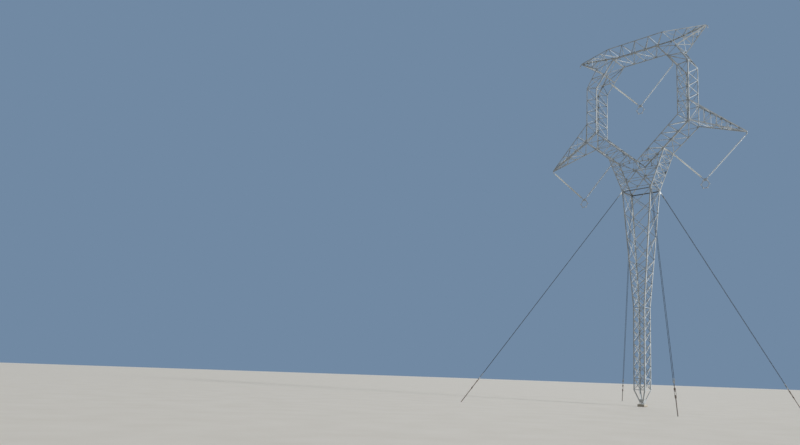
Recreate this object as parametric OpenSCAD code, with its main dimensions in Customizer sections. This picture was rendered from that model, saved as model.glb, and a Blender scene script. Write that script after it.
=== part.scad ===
// Guyed lattice transmission pylon, a 1:2 scale model, in millimetres.
// X runs across the line, Y runs along it, Z is up. The origin is the middle of the footing's underside.
// One square mast stands on a hinged shoe, flares to a waist held by four guys, and carries a
// window-shaped head with two crossarms. Three V-strings of insulators hold a six-way yoke each.
// All bars are steel angles: legs and chords keep their heel on the corner of the box they bound,
// and braces lie against the inside or the outside of the legs' flanges.

/* [Overall] */
// Height of the top face of the head's beam
beam_top_z = 24050; // [22000:50:26000]
// Height of the waist, where the guys are tied
waist_z = 13700; // [12500:50:14500]
// Half of the mast's width where it is straight
mast_half = 400; // [360:5:460]
// Half of the waist's width across the line
waist_half_x = 1040; // [900:10:1200]
// Half of the waist's depth along the line
waist_half_y = 645; // [560:5:720]
// Half of the head's depth along the line
head_half_y = 745; // [660:5:820]

/* [Mast] */
// Height of the first belt, where the legs start to close in on the shoe
cone_top_z = 990; // [850:10:1150]
// Height of the second belt
low_belt_z = 1680; // [1550:10:1900]
// Height at which the legs start to spread
flare_z = 6080; // [5600:20:6600]
// Number of panels between the second belt and the flare
straight_panels = 6; // [4:2:8]
// Number of short panels at the foot of the flare
short_panels = 4; // [3:1:6]
// Number of panels twice as tall above them
tall_panels = 3; // [2:1:4]
// Half of the width of the leg cluster on the shoe
cone_foot_half = 130; // [115:5:160]

/* [Head] */
// Height of the notch where the two arms meet, above the waist
crotch_h = 1860; // [1500:20:2200]
// Height of the peak of the frame under the notch, above the waist
throat_h = 1200; // [1000:20:1360]
// Distance of the arm's knee from the middle
knee_x = 2020; // [1900:10:2150]
// Height of the arm's knee above the waist
knee_h = 2380; // [2200:10:2600]
// Distance of a column's outer face from the middle
column_out_x = 3755; // [3600:5:3900]
// Distance of a column's inner face from the middle
column_in_x = 2955; // [2800:5:3100]
// Height of the column's foot above the waist, on its outer face
column_foot_h = 3830; // [3600:10:4000]
// Height of the column's foot above the waist, on its inner face
column_heel_h = 4410; // [4300:10:4600]
// Depth of the column's top under the beam's top, on its outer face
column_top_drop = 2480; // [2250:10:2750]
// Depth of the column's top under the beam's top, on its inner face
column_toe_drop = 2660; // [2500:10:2850]
// Distance of the shoulder's upper end from the middle
shoulder_x = 2990; // [2850:10:3150]
// Depth of the shoulder's upper end under the beam's top
shoulder_drop = 1245; // [1050:5:1450]
// Half of the length of the beam's lower chord
beam_low_x = 1635; // [1500:5:1750]
// Depth of the beam
beam_depth = 920; // [750:5:1050]
// Half of the length of the beam's upper chord
beam_top_x = 2030; // [1900:5:2200]
// Distance of an earth-wire peak's tip from the middle
peak_x = 4655; // [4400:5:4900]
// Depth of an earth-wire peak's tip under the beam's top
peak_drop = 50; // [0:5:150]

/* [Crossarms] */
// Distance of a crossarm's tip from the middle
arm_tip_x = 7010; // [6700:10:7300]
// Depth of a crossarm's tip under the column's foot
arm_tip_drop = 1240; // [930:10:1530]
// Height at which the crossarm's upper chords leave the column, above the column's foot
arm_root_h = 1390; // [1170:10:1570]
// Number of panels in a crossarm
arm_panels = 5; // [4:1:6]
// Half of the width of a crossarm or a peak at its tip
tip_half = 36; // [32:1:44]
// Height of a crossarm or a peak at its tip
tip_h = 92; // [84:2:110]

/* [Guys] */
// Distance of a guy's anchor from the middle, across the line
anchor_x = 6640; // [6200:20:7000]
// Distance of a guy's anchor from the middle, along the line
anchor_y = 9220; // [8800:20:9600]
// Diameter of each of a guy's two ropes
rope_d = 22; // [18:1:26]
// Distance between a guy's two ropes
rope_gap = 58; // [50:1:66]
// Length of the anchor rod above the ground, up to its adjuster
anchor_rod_l = 1000; // [800:10:1200]
// Length of the adjuster, up to the guy's lower pin
adjuster_l = 700; // [640:10:800]
// Diameter of the anchor rod
anchor_rod_d = 44; // [38:1:50]

/* [Strings] */
// Distance of the middle string's upper pins from the middle
string_x = 2355; // [2250:5:2450]
// Depth of the middle string's upper pins under the beam's top
string_drop = 2160; // [2090:5:2250]
// Depth of the middle yoke's pins under the string's upper pins
mid_yoke_drop = 2230; // [2090:10:2400]
// Distance of an outer yoke from the middle
out_yoke_x = 4355; // [4250:5:4450]
// Depth of an outer yoke's pins under the crossarm's tip
out_yoke_drop = 2475; // [2340:5:2600]
// Diameter of an insulator's sheds
shed_d = 126; // [110:2:140]
// Distance from one shed to the next
shed_pitch = 73; // [64:1:82]
// Length of the fittings at each end of a string
fitting_l = 190; // [170:5:240]
// Radius of the ring of six clamps
bundle_r = 270; // [240:5:300]
// Distance of a yoke's two pins from its middle
yoke_arm = 95; // [85:1:110]

/* [Steel] */
// Flange width of the mast's leg angles
leg_w = 75; // [70:1:85]
// Flange width of the head's chord angles
chord_w = 60; // [54:1:66]
// Thickness of a leg or chord angle
angle_t = 8; // [7:0.5:9]
// Flange width of a mast brace
mast_brace_w = 36; // [32:1:40]
// Flange width of a head brace
head_brace_w = 32; // [28:1:36]
// Thickness of a brace
brace_t = 5; // [4:0.5:6]
// Thickness of the plates that take a pin
lug_t = 16; // [14:1:18]
// Diameter of the pins
pin_d = 20; // [18:1:24]

/* [Hidden] */

// Heights of the head's nodes
crotch_z = waist_z + crotch_h;
throat_z = waist_z + throat_h;
knee_z = waist_z + knee_h;
column_foot_z = waist_z + column_foot_h;
column_heel_z = waist_z + column_heel_h;
column_top_z = beam_top_z - column_top_drop;
column_toe_z = beam_top_z - column_toe_drop;
shoulder_z = beam_top_z - shoulder_drop;
beam_low_z = beam_top_z - beam_depth;
peak_z = beam_top_z - peak_drop;
arm_tip_z = column_foot_z - arm_tip_drop;
arm_root_z = column_foot_z + arm_root_h;
string_z = beam_top_z - string_drop;
mid_yoke_z = string_z - mid_yoke_drop;
out_yoke_z = arm_tip_z - out_yoke_drop;

footing_h = 150;
footing_w = 460;
shoe_h = 110;
cone_foot_z = footing_h + shoe_h;
steel = "silver";

// Share of a leg's flange at which the braces' middle lines end, and how deep a brace is let into it
gauge = 0.55;
weld = 1.5;
// Gap between pieces that only touch
clear = 0.3;
// How far a chord runs past its end before it is cut to the plane of the joint
overrun = 1.6;

// Vector helpers
function unit(v) = v / norm(v);
function mix(a, b, t) = a + (b - a) * t;
function at_y(p, y) = [p[0], y, p[1]];
function flat(p) = [p[0], p[2]];
function square_at(z, hx, hy) = [[-hx, -hy, z], [hx, -hy, z], [hx, hy, z], [-hx, hy, z]];
function even_cuts(n) = [for (i = [0 : n]) i / n];

// Cuts whose spacing shrinks by a ratio from the start to the end
function shrinking_cuts(n, r) =
    let (total = (1 - pow(r, n)) / (1 - r))
    [for (i = [0 : n]) (1 - pow(r, i)) / (1 - r) / total];

// Inward normal of the face between the legs a and b, for a box with the given point inside
function inward(a, b, inside) =
    let (n = cross(mix(b[0], b[1], 0.5) - mix(a[0], a[1], 0.5), a[1] - a[0]))
    unit(n * (inside - a[0]) >= 0 ? n : -n);

// The arms' front and back faces are flat: the depth grows evenly from the waist to the column's foot
heel_slope = (column_heel_z - column_foot_z) / (column_out_x - column_in_x);
function arm_rise(x, z) = heel_slope * (x - waist_half_x) + z - waist_z;
function head_depth(x, z) = min(head_half_y,
    mix(waist_half_y, head_half_y, arm_rise(x, z) / arm_rise(column_out_x, column_foot_z)));

// A right-hand node of the head on the front (-1) or back (1) face
function spot(x, z, face) = [x, face * head_depth(x, z), z];

// Children stand on p, with their Z towards q and their X as near as can be to u
module along(p, q, u) {
    w = unit(q - p);
    x = unit(u - (u * w) * w);
    y = cross(w, x);
    multmatrix([
        [x[0], y[0], w[0], p[0]],
        [x[1], y[1], w[1], p[1]],
        [x[2], y[2], w[2], p[2]],
        [0, 0, 0, 1]
    ])
        children();
}

// A leg or chord with its heel on the line p to q and its two flanges towards u and v
module angle_bar(p, q, width, u, v) {
    w = unit(q - p);
    x = unit(u - (u * w) * w);
    y = cross(w, x);
    c = unit([v * x, v * y]);
    s = sign(c[1]);
    along(p, q, u)
        linear_extrude(height = norm(q - p))
            polygon([
                [0, 0], [width, 0], [width, s * angle_t], angle_t / abs(c[1]) * (c + [1, 0]),
                width * c + angle_t * [abs(c[1]), -s * c[0]], width * c
            ]);
}

// An angle brace from p to q in the face with the inward normal n, on its inside (1) or outside (-1)
module brace(p, q, width, n, side, start) {
    along(p, q, cross(n, q - p))
        linear_extrude(height = norm(q - p))
            polygon([
                [-width / 2, start], [width / 2, start], [width / 2, start + side * brace_t],
                [brace_t - width / 2, start + side * brace_t], [brace_t - width / 2, start + side * width],
                [-width / 2, start + side * width]
            ]);
}

// Point on leg a of the face a-b at a share of its length, set in from the heel along the face
function on_leg(a, b, t, setback) =
    let (p = mix(a[0], a[1], t), q = mix(b[0], b[1], t))
    p + min(setback, norm(q - p) / 4) * unit(q - p);

// Bracing of the face between the legs a and b
module face_bracing(a, b, inside, cuts, width, leg, pattern) {
    n = inward(a, b, inside);
    setback = leg * gauge;
    trim = 1.3 * width / norm(a[1] - a[0]);
    for (i = [0 : len(cuts) - 2]) {
        from = max(cuts[i], trim);
        to = min(cuts[i + 1], 1 - trim);
        al = on_leg(a, b, from, setback);
        ah = on_leg(a, b, to, setback);
        bl = on_leg(b, a, from, setback);
        bh = on_leg(b, a, to, setback);
        crossed = pattern == "x";
        rise = crossed || pattern == "up" || (pattern == "zig" && i % 2 == 0)
            || (pattern == "zag" && i % 2 == 1);
        fall = crossed || pattern == "down" || (pattern == "zig" && i % 2 == 1)
            || (pattern == "zag" && i % 2 == 0);
        if (rise) brace(al, bh, width, n, 1, angle_t - weld);
        if (fall && !crossed) brace(bl, ah, width, n, 1, angle_t - 1.3 * weld);
        if (crossed) {
            brace(bl, ah, width, n, -1, weld);
            wl = norm(bl - al);
            middle = mix(al, bh, wl / (wl + norm(bh - ah)));
            along(middle + weld / 2 * n, middle + (angle_t - weld / 2) * n, a[1] - a[0])
                cylinder(h = angle_t - weld, d = 0.7 * width, $fn = 6);
        }
    }
}

// Strut across the face between the legs a and b, at a share of their length
module strut(a, b, inside, t, width) {
    n = inward(a, b, inside);
    trim = 0.55 * width / norm(a[1] - a[0]);
    at = min(max(t, trim), 1 - trim);
    setback = angle_t + width + 2;
    brace(on_leg(a, b, at, setback), on_leg(b, a, at, setback), width, n, 1, angle_t - 1.6 * weld);
}

// Space between the joint planes at both ends of a section
module bay(outline) {
    rotate([90, 0, 0])
        linear_extrude(height = 2 * head_half_y + 4 * leg_w, center = true)
            polygon(outline);
}

// Outline of a section between the planes through its corners at both ends
function section_outline(s, e) =
    let (u = 2 * leg_w * unit(flat(s[0] - s[1])), v = 2 * leg_w * unit(flat(e[0] - e[1])))
    [flat(s[0]) + u, flat(s[1]) - u, flat(e[1]) - v, flat(e[0]) + v];

// The four legs of a box from the corners s to the corners e, cut to the outline
module legs(s, e, width, outline) {
    intersection() {
        union() {
            for (i = [0 : 3]) {
                j = (i + 1) % 4;
                k = (i + 3) % 4;
                w = unit(e[i] - s[i]);
                here = mix(s[i], e[i], 0.5);
                angle_bar(
                    s[i] - overrun * width * w, e[i] + overrun * width * w, width,
                    mix(s[j], e[j], 0.5) - here, mix(s[k], e[k], 0.5) - here
                );
            }
        }
        bay(outline);
    }
}

// A box of four legs with braced faces: outer front, inner front, inner back, outer back.
// Each ring is [cut, [four flags]] and gives struts round the box at that cut.
module truss(s, e, cuts, leg, width, patterns, rings, outline) {
    legs(s, e, leg, outline);
    braced_box(s, e, cuts, leg, width, patterns, rings);
}

// The braced faces of such a box, without its legs
module braced_box(s, e, cuts, leg, width, patterns, rings) {
    inside = (s[0] + s[1] + s[2] + s[3] + e[0] + e[1] + e[2] + e[3]) / 8;
    for (i = [0 : 3]) {
        j = (i + 1) % 4;
        a = [s[i], e[i]];
        b = [s[j], e[j]];
        face_bracing(a, b, inside, cuts, width, leg, patterns[i]);
        for (r = rings)
            if (r[1][i]) strut(a, b, inside, cuts[r[0]], width);
    }
}

all_round = [1, 1, 1, 1];
all_x = ["x", "x", "x", "x"];

// A plate in the plane across the line, from a strut to the pin that it takes, with a boss and a hole
module lug(base, pin, width) {
    difference() {
        union() {
            along(base, pin, cross([0, 1, 0], pin - base))
                translate([-0.42 * width, -lug_t / 2, 0])
                    cube([0.84 * width, lug_t, norm(pin - base)]);
            translate(pin)
                rotate([90, 0, 0])
                    cylinder(h = boss_t, d = width, center = true, $fn = 24);
        }
        translate(pin)
            rotate([90, 0, 0])
                cylinder(h = 2 * boss_t, d = pin_d + 2 * clear, center = true, $fn = 24);
    }
}

boss_t = lug_t + 4;
ear_t = 9;

// Clevis on a pin at the origin, whose ears run up to a block. The pin lies along X.
module clevis(width, reach) {
    inner = boss_t / 2 + clear;
    for (s = [-1, 1])
        translate([s * (inner + ear_t / 2) - ear_t / 2, -width / 2, -width / 2])
            cube([ear_t, width, reach + width / 2]);
    translate([-inner - ear_t, -width / 2 + 1, 0.7 * reach])
        cube([2 * (inner + ear_t), width - 2, 0.3 * reach - 1]);
    rotate([0, 90, 0])
        cylinder(h = 2 * (inner + ear_t) + 0.8 * pin_d, d = pin_d, center = true, $fn = 16);
}

// Concrete pier under the mast, with a bevelled top
module footing() {
    bevel = footing_h / 6;
    half = footing_w / 2;
    profile = [
        [-half, 0], [half, 0], [half, footing_h - bevel], [half - bevel, footing_h],
        [bevel - half, footing_h], [-half, footing_h - bevel]
    ];
    color("gainsboro")
        intersection() {
            rotate([90, 0, 0])
                linear_extrude(height = footing_w, center = true)
                    polygon(profile);
            rotate([90, 0, 90])
                linear_extrude(height = 2 * footing_w, center = true)
                    polygon(profile);
        }
}

// Hinged steel shoe: a base plate with ribs, a ball in its seat and the cap plate under the legs
module mast_shoe() {
    base = 0.74 * footing_w;
    plate = 0.18 * shoe_h;
    cap = 2 * cone_foot_half + 40;
    color(steel)
        translate([0, 0, footing_h]) {
            translate([-base / 2, -base / 2, 0])
                cube([base, base, plate]);
            rotate_extrude($fn = 32)
                polygon([
                    [0, plate - 1], [0.3 * base, plate - 1], [0.3 * base, 0.3 * shoe_h],
                    [0.2 * base, 0.5 * shoe_h], [0.2 * base, 0.62 * shoe_h], [0, 0.62 * shoe_h]
                ]);
            for (a = [0 : 90 : 270])
                rotate([90, 0, a])
                    linear_extrude(height = 0.12 * shoe_h, center = true)
                        polygon([
                            [0.1 * base, plate - 2], [0.46 * base, plate - 2], [0.46 * base, plate + 6],
                            [0.19 * base, 0.56 * shoe_h], [0.1 * base, 0.56 * shoe_h]
                        ]);
            translate([0, 0, 0.62 * shoe_h])
                intersection() {
                    sphere(r = 0.15 * base, $fn = 32);
                    translate([0, 0, 0.1 * shoe_h])
                        cube([base, base, 0.4 * shoe_h], center = true);
                }
            rotate_extrude($fn = 32)
                polygon([
                    [0, 0.78 * shoe_h], [0.19 * base, 0.78 * shoe_h], [0.23 * base, shoe_h - plate + 1],
                    [0, shoe_h - plate + 1]
                ]);
            translate([-cap / 2, -cap / 2, shoe_h - plate])
                cube([cap, cap, plate]);
        }
}

// Four legs that close in on the shoe, tied by plates at their foot
module mast_foot_cone() {
    s = square_at(cone_foot_z, cone_foot_half, cone_foot_half);
    e = square_at(cone_top_z, mast_half, mast_half);
    inside = [0, 0, (cone_foot_z + cone_top_z) / 2];
    color(steel) {
        legs(s, e, leg_w, section_outline(s, e));
        for (i = [0 : 3]) {
            a = [s[i], e[i]];
            b = [s[(i + 1) % 4], e[(i + 1) % 4]];
            n = inward(a, b, inside);
            low = mix(on_leg(a, b, 0.02, leg_w), on_leg(b, a, 0.02, leg_w), 0.5);
            high = mix(on_leg(a, b, 0.24, leg_w), on_leg(b, a, 0.24, leg_w), 0.5);
            along(low, high, cross(n, high - low))
                translate([leg_w / 4 - cone_foot_half, angle_t - 2 * weld, 0])
                    cube([2 * cone_foot_half - leg_w / 2, angle_t, norm(high - low)]);
        }
    }
}

straight_step = (flare_z - low_belt_z) / straight_panels;
lower_panels = straight_panels / 2;
section_z = low_belt_z + straight_step * lower_panels;
lower_cuts = concat([0], [for (i = [0 : lower_panels])
    (low_belt_z + i * straight_step - cone_top_z) / (section_z - cone_top_z)]);

// A straight part of the mast
module mast_part(z0, z1, cuts, rings) {
    s = square_at(z0, mast_half, mast_half);
    e = square_at(z1, mast_half, mast_half);
    color(steel)
        truss(s, e, cuts, leg_w, mast_brace_w, all_x, rings, section_outline(s, e));
}

// Lower straight part of the mast, with its two belts
module mast_lower_section() {
    mast_part(cone_top_z, section_z, lower_cuts, [[0, all_round], [1, all_round]]);
}

// Upper straight part of the mast, up to the belt below the flare
module mast_middle_section() {
    count = straight_panels - lower_panels;
    mast_part(section_z, flare_z, even_cuts(count), [[count, all_round]]);
}

flare_units = short_panels + 2 * tall_panels;
flare_cuts = concat(
    [for (i = [0 : short_panels]) i / flare_units],
    [for (i = [1 : tall_panels]) (short_panels + 2 * i) / flare_units]
);

// Corners of the flaring mast at a share of the flare's height
function flare_ring(t) = square_at(
    mix(flare_z, waist_z, t), mix(mast_half, waist_half_x, t), mix(mast_half, waist_half_y, t));

// Part of the flare between two of its cuts
module flare_part(from, to) {
    low = flare_cuts[from];
    high = flare_cuts[to];
    truss(
        flare_ring(low), flare_ring(high),
        [for (i = [from : to]) (flare_cuts[i] - low) / (high - low)],
        leg_w, mast_brace_w, all_x, [], section_outline(flare_ring(low), flare_ring(high))
    );
}

// Lower part of the flaring mast, with short panels
module mast_flare_lower() {
    color(steel)
        flare_part(0, short_panels);
}

guy_lug_l = 150;
guy_lug_w = 64;
guy_lug_drop = 60;
guy_corner = [waist_half_x, -waist_half_y, waist_z];
guy_way = unit([anchor_x - waist_half_x, waist_half_y - anchor_y, guy_lug_drop - waist_z]);
guy_top = guy_corner - [0, 0, guy_lug_drop] + guy_lug_l * guy_way;
guy_side = unit(cross([0, 0, 1], guy_way));
guy_out = unit([guy_way[0], guy_way[1], 0]);
guy_lug_h = 3.4 * guy_lug_drop;
guy_lug_head = guy_corner - 2 * angle_t * guy_out;
guy_lug_foot = guy_lug_head - [0, 0, guy_lug_h];

// Plate on the heel of a leg, in the upright plane of the guy that is pinned to it
module guy_lug() {
    pin = [(guy_top - guy_lug_foot) * guy_out, guy_top[2] - guy_lug_foot[2]];
    side = 0.42 * guy_lug_w * [-guy_way[2], guy_way * guy_out];
    difference() {
        union() {
            along(guy_lug_foot, guy_lug_head, guy_out)
                translate([0, lug_t / 2, 0])
                    rotate([90, 0, 0])
                        linear_extrude(height = lug_t)
                            polygon([
                                [0, 0], pin - side, pin + side,
                                [2.4 * angle_t, guy_lug_h - 10], [0, guy_lug_h - 10]
                            ]);
            along(guy_top - boss_t / 2 * guy_side, guy_top, guy_out)
                cylinder(h = boss_t, d = guy_lug_w, $fn = 24);
        }
        along(guy_top - boss_t * guy_side, guy_top, guy_out)
            cylinder(h = 2 * boss_t, d = pin_d + 2 * clear, $fn = 24);
    }
}

// Upper part of the flaring mast, with tall panels and the plates for the guys on its corners
module mast_flare_upper() {
    color(steel) {
        flare_part(short_panels, short_panels + tall_panels);
        guy_lug();
        left() guy_lug();
        back() guy_lug();
        left() back() guy_lug();
    }
}

// Belt of angles inside the legs at the waist
module waist_frame() {
    lean_x = chord_w * (waist_half_x - mast_half) / (waist_z - flare_z);
    lean_y = chord_w * (waist_half_y - mast_half) / (waist_z - flare_z);
    hx = waist_half_x - angle_t - lean_x - 1;
    hy = waist_half_y - angle_t - lean_y - 1;
    color(steel)
        for (s = [-1, 1]) {
            angle_bar([-hx, s * hy, waist_z], [hx, s * hy, waist_z], chord_w, [0, -s, 0], [0, 0, -1]);
            angle_bar([s * hx, -hy, waist_z], [s * hx, hy, waist_z], chord_w, [-s, 0, 0], [0, 0, -1]);
        }
}

outer_low = [for (f = [-1, 1]) [waist_half_x, f * waist_half_y, waist_z]];

// Node of the arm's outer chord at a height
function outer_node(z, f) = spot(mix(waist_half_x, knee_x, (z - waist_z) / (knee_z - waist_z)), z, f);

// Point set in along the face from a chord, far enough to lap its flange and clear the next face's braces
lap = chord_w - 10;
function lapped(p, q) = p + lap * unit(q - p);

deck_z = crotch_z - chord_w;
brace_foot_z = deck_z - head_brace_w;
throat_mid_z = mix(waist_z, throat_z, 0.48);

// A bar of the throat frame, behind the chords' flanges
module throat_bar(p, q, width, layer) {
    a = [spot(0, crotch_z, -1), spot(0, throat_z, -1)];
    b = [outer_node(throat_z, -1), outer_low[0]];
    front = inward(a, b, [0, 0, throat_z]);
    n = [front[0] * sign(p[0] + q[0]), p[1] < 0 ? front[1] : -front[1], front[2]];
    brace(p, q, width, n, 1, angle_t + clear * (1 + layer));
}

// Frame between the waist and the notch: an upturned V on the front and the back, its ties and post
module crotch_frame() {
    color(steel)
        for (f = [-1, 1]) {
            peak = spot(0, throat_z, f);
            foot = outer_low[(f + 1) / 2];
            half = mix(foot, peak, 0.48);
            low = spot(0, throat_mid_z, f);
            eave = outer_node(throat_z, f);
            under = outer_node(throat_z - head_brace_w, f);
            above = outer_node(throat_z + head_brace_w, f);
            hip = spot(0.44 * knee_x, brace_foot_z, f);
            apex = spot(0, brace_foot_z, f);
            bars = [
                [lapped(foot, peak), peak, chord_w],
                [lapped(eave, peak), peak, head_brace_w],
                [half, lapped(under, peak), head_brace_w],
                [lapped(outer_node(throat_mid_z, f), low), half, head_brace_w],
                [peak, hip, head_brace_w],
                [lapped(above, peak), hip, head_brace_w]
            ];
            for (s = [-1, 1])
                for (i = [0 : 5]) {
                    p = bars[i][0];
                    q = bars[i][1];
                    throat_bar([s * p[0], p[1], p[2]], [s * q[0], q[1], q[2]], bars[i][2], i);
                }
            brace([-half[0], half[1], half[2]], half, head_brace_w, [0, -f, 0], 1, angle_t + 7.5 * clear);
            brace(peak, apex, head_brace_w, [0, -f, 0], 1, angle_t + 9 * clear);
            gap = [0, f * (angle_t + 2), 0];
            brace(peak - gap, [apex[0], -apex[1], apex[2]] + gap, head_brace_w, [f, 0, 0], 1, 1 + f);
        }
}

knee_share = 0.44;
knee_in = [mix(0, column_in_x, knee_share), mix(crotch_z, column_heel_z, knee_share)];

// Corners of a cut through the arm: outer front, inner front, inner back, outer back
function arm_cut(out_x, out_z, in_x, in_z) = [
    spot(out_x, out_z, -1), spot(in_x, in_z, -1), spot(in_x, in_z, 1), spot(out_x, out_z, 1)
];

arm_start = [outer_low[0], spot(0, crotch_z, -1), spot(0, crotch_z, 1), outer_low[1]];
arm_knee = arm_cut(knee_x, knee_z, knee_in[0], knee_in[1]);
arm_end = arm_cut(column_out_x, column_foot_z, column_in_x, column_heel_z);
column_end = arm_cut(column_out_x, column_top_z, column_in_x, column_toe_z);
shoulder_end = arm_cut(shoulder_x, shoulder_z, beam_low_x, beam_low_z);

// The lower arm's chords end on the mast, at the middle plane and at the knee
arm_outline =
    let (u = 2 * leg_w * unit([knee_x, knee_z] - knee_in))
    [
        [0, waist_z], [waist_half_x + 2 * leg_w, waist_z], [knee_x, knee_z] + u, knee_in - u,
        [0, crotch_z + 2 * leg_w]
    ];

// Upper pins of the strings, right half
middle_pin = [string_x, 0, string_z];
outer_pin = [arm_tip_x, 0, arm_tip_z - tip_h - 20];
knee_pin = [knee_x + 1.5 * chord_w, 0, knee_z - 1.5 * chord_w];

// Lower part of the right arm: chords from the waist and from the notch up to the knee
module arm_lower() {
    inside = (arm_knee[0] + arm_knee[1] + arm_start[2] + arm_start[3]) / 4;
    inner_cuts = even_cuts(3);
    outer_cuts = even_cuts(5);
    outer_a = [arm_start[3], arm_knee[3]];
    outer_b = [arm_start[0], arm_knee[0]];
    inner_a = [arm_start[1], arm_knee[1]];
    inner_b = [arm_start[2], arm_knee[2]];
    color(steel) {
        legs(arm_start, arm_knee, chord_w, arm_outline);
        face_bracing(outer_a, outer_b, inside, outer_cuts, head_brace_w, chord_w, "x");
        face_bracing(inner_a, inner_b, inside, inner_cuts, head_brace_w, chord_w, "up");
        for (i = [1 : 4]) strut(outer_a, outer_b, inside, outer_cuts[i], head_brace_w);
        for (i = [1 : 3]) strut(inner_a, inner_b, inside, inner_cuts[i], head_brace_w);
        strut(outer_a, outer_b, inside, 1, chord_w);
        lug(knee_pin - [2 * chord_w, 0, -2 * chord_w], knee_pin, 0.9 * chord_w);
        for (f = [-1, 1]) {
            outer = [arm_start[f < 0 ? 0 : 3], arm_knee[f < 0 ? 0 : 3]];
            inner = [arm_start[f < 0 ? 1 : 2], arm_knee[f < 0 ? 1 : 2]];
            n = inward(outer, inner, inside);
            deck_in = spot(brace_t, deck_z, f);
            deck_out = outer_node(deck_z, f);
            depth = angle_t - weld;
            brace(deck_in, deck_out - [chord_w * gauge, 0, 0], head_brace_w, n, 1, depth);
            upper = [for (c = inner_cuts) mix(inner[0], inner[1], c) - [0, 0, 0.8 * chord_w]];
            for (i = [1, 2])
                brace(upper[i], spot(upper[i][0], deck_z, f), head_brace_w, n, 1, depth - 0.4);
            brace(spot(upper[1][0], deck_z, f), upper[2], head_brace_w, n, 1, depth - 0.7);
            brace(upper[2], outer[1] - [chord_w, 0, chord_w / 2], head_brace_w, n, 1, depth - 0.7);
            knee_side = outer[1] - [chord_w, 0, chord_w];
            brace(spot(upper[2][0], deck_z, f), knee_side, head_brace_w, n, 1, depth - 1);
            strut(outer, inner, inside, 1, head_brace_w);
        }
    }
}

arm_upper_cuts = [0, 0.3, 0.6, 1];

// Upper part of the right arm, from the knee to the foot of the column
module arm_upper() {
    color(steel)
        truss(
            arm_knee, arm_end, arm_upper_cuts, chord_w, head_brace_w, ["down", "up", "up", "zig"],
            [[1, all_round], [2, all_round], [3, all_round]], section_outline(arm_knee, arm_end)
        );
}

column_root = arm_cut(column_out_x, arm_root_z, column_in_x, arm_root_z);
column_patterns = ["down", "down", "up", "down"];

// Right column beside the window: the panel beside the crossarm, and three panels above it
module column() {
    heel_tie_z = column_heel_z + chord_w;
    setback = [gauge * chord_w, 0, 0];
    color(steel) {
        legs(arm_end, column_end, chord_w, section_outline(arm_end, column_end));
        braced_box(arm_end, column_root, [0, 1], chord_w, head_brace_w, column_patterns, [[1, all_round]]);
        braced_box(
            column_root, column_end, even_cuts(3), chord_w, head_brace_w, column_patterns,
            [[1, all_round], [2, all_round], [3, all_round]]
        );
        for (f = [-1, 1])
            brace(
                spot(column_in_x, heel_tie_z, f) + setback, spot(column_out_x, heel_tie_z, f) - setback,
                head_brace_w, [0, -f, 0], 1, angle_t - 0.7 * weld
            );
    }
}

// Joint planes round the upper corner of the window. The peak folds in along the line between the
// ends of the beam's upper chord and of the shoulder's outer chord.
corner_low = [beam_low_x, beam_low_z];
corner_top = [beam_top_x, beam_top_z];
corner_out = [shoulder_x, shoulder_z];
corner_mid = mix(corner_top, corner_out, 0.5);
mitre = 2 * leg_w * unit(corner_mid - corner_low);
fold = 2 * leg_w * unit(corner_out - corner_top);
shoulder_outline =
    let (s = section_outline(column_end, shoulder_end))
    [s[0], s[1], corner_low - mitre, corner_mid, corner_out + fold];
beam_half = [corner_low - mitre, corner_mid, corner_top - fold];
beam_outline = concat(beam_half, [for (i = [2 : -1 : 0]) [-beam_half[i][0], beam_half[i][1]]]);

hanger_share = (column_in_x - string_x) / (column_in_x - beam_low_x);

// Right shoulder, which leans in from the column to the beam, with the hanger of the middle string
module shoulder() {
    a = [column_end[1], shoulder_end[1]];
    b = [column_end[2], shoulder_end[2]];
    inside = (column_end[0] + column_end[2] + shoulder_end[0] + shoulder_end[2]) / 4;
    top = mix(a[0], a[1], hanger_share);
    color(steel) {
        truss(
            column_end, shoulder_end, even_cuts(2), chord_w, head_brace_w, ["zig", "up", "zig", "down"],
            [[1, [1, 0, 1, 1]], [2, all_round]], shoulder_outline
        );
        strut(a, b, inside, hanger_share, chord_w);
        lug([top[0], 0, top[2] + chord_w], middle_pin, 0.9 * chord_w);
    }
}

beam_start = [
    [-beam_top_x, -head_half_y, beam_top_z], [-beam_low_x, -head_half_y, beam_low_z],
    [-beam_low_x, head_half_y, beam_low_z], [-beam_top_x, head_half_y, beam_top_z]
];
beam_end = [for (p = beam_start) [-p[0], p[1], p[2]]];

// Beam over the window
module top_beam() {
    color(steel)
        truss(
            beam_start, beam_end, even_cuts(4), chord_w, head_brace_w, ["up", "zig", "up", "up"],
            [[0, all_round], [1, all_round], [2, all_round], [3, all_round], [4, all_round]], beam_outline
        );
}

peak_start = [
    [beam_top_x, -head_half_y, beam_top_z], [shoulder_x, -head_half_y, shoulder_z],
    [shoulder_x, head_half_y, shoulder_z], [beam_top_x, head_half_y, beam_top_z]
];
peak_slant = tip_h * unit(corner_out - corner_top);
peak_end = [
    [peak_x, -tip_half, peak_z], [peak_x + peak_slant[0], -tip_half, peak_z + peak_slant[1]],
    [peak_x + peak_slant[0], tip_half, peak_z + peak_slant[1]], [peak_x, tip_half, peak_z]
];
wire_base = [peak_x + peak_slant[0] / 2, 0, peak_z + peak_slant[1] / 2];
wire_pin = wire_base + [peak_slant[0] / 2 + 1.2 * chord_w, 0, peak_slant[1] / 2 - chord_w];

// Right peak, which carries an earth wire
module peak() {
    color(steel) {
        truss(
            peak_start, peak_end, shrinking_cuts(4, 0.85), chord_w, head_brace_w,
            ["zig", "zig", "zig", "up"],
            [[0, [1, 0, 1, 0]], [1, all_round], [2, all_round], [3, all_round]],
            section_outline(peak_start, peak_end)
        );
        tip_plate([peak_x, peak_z - 4], [peak_x + peak_slant[0], peak_z + peak_slant[1] + 4]);
        lug(wire_base - 0.3 * (wire_pin - wire_base), wire_pin, 0.9 * chord_w);
    }
}

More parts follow.
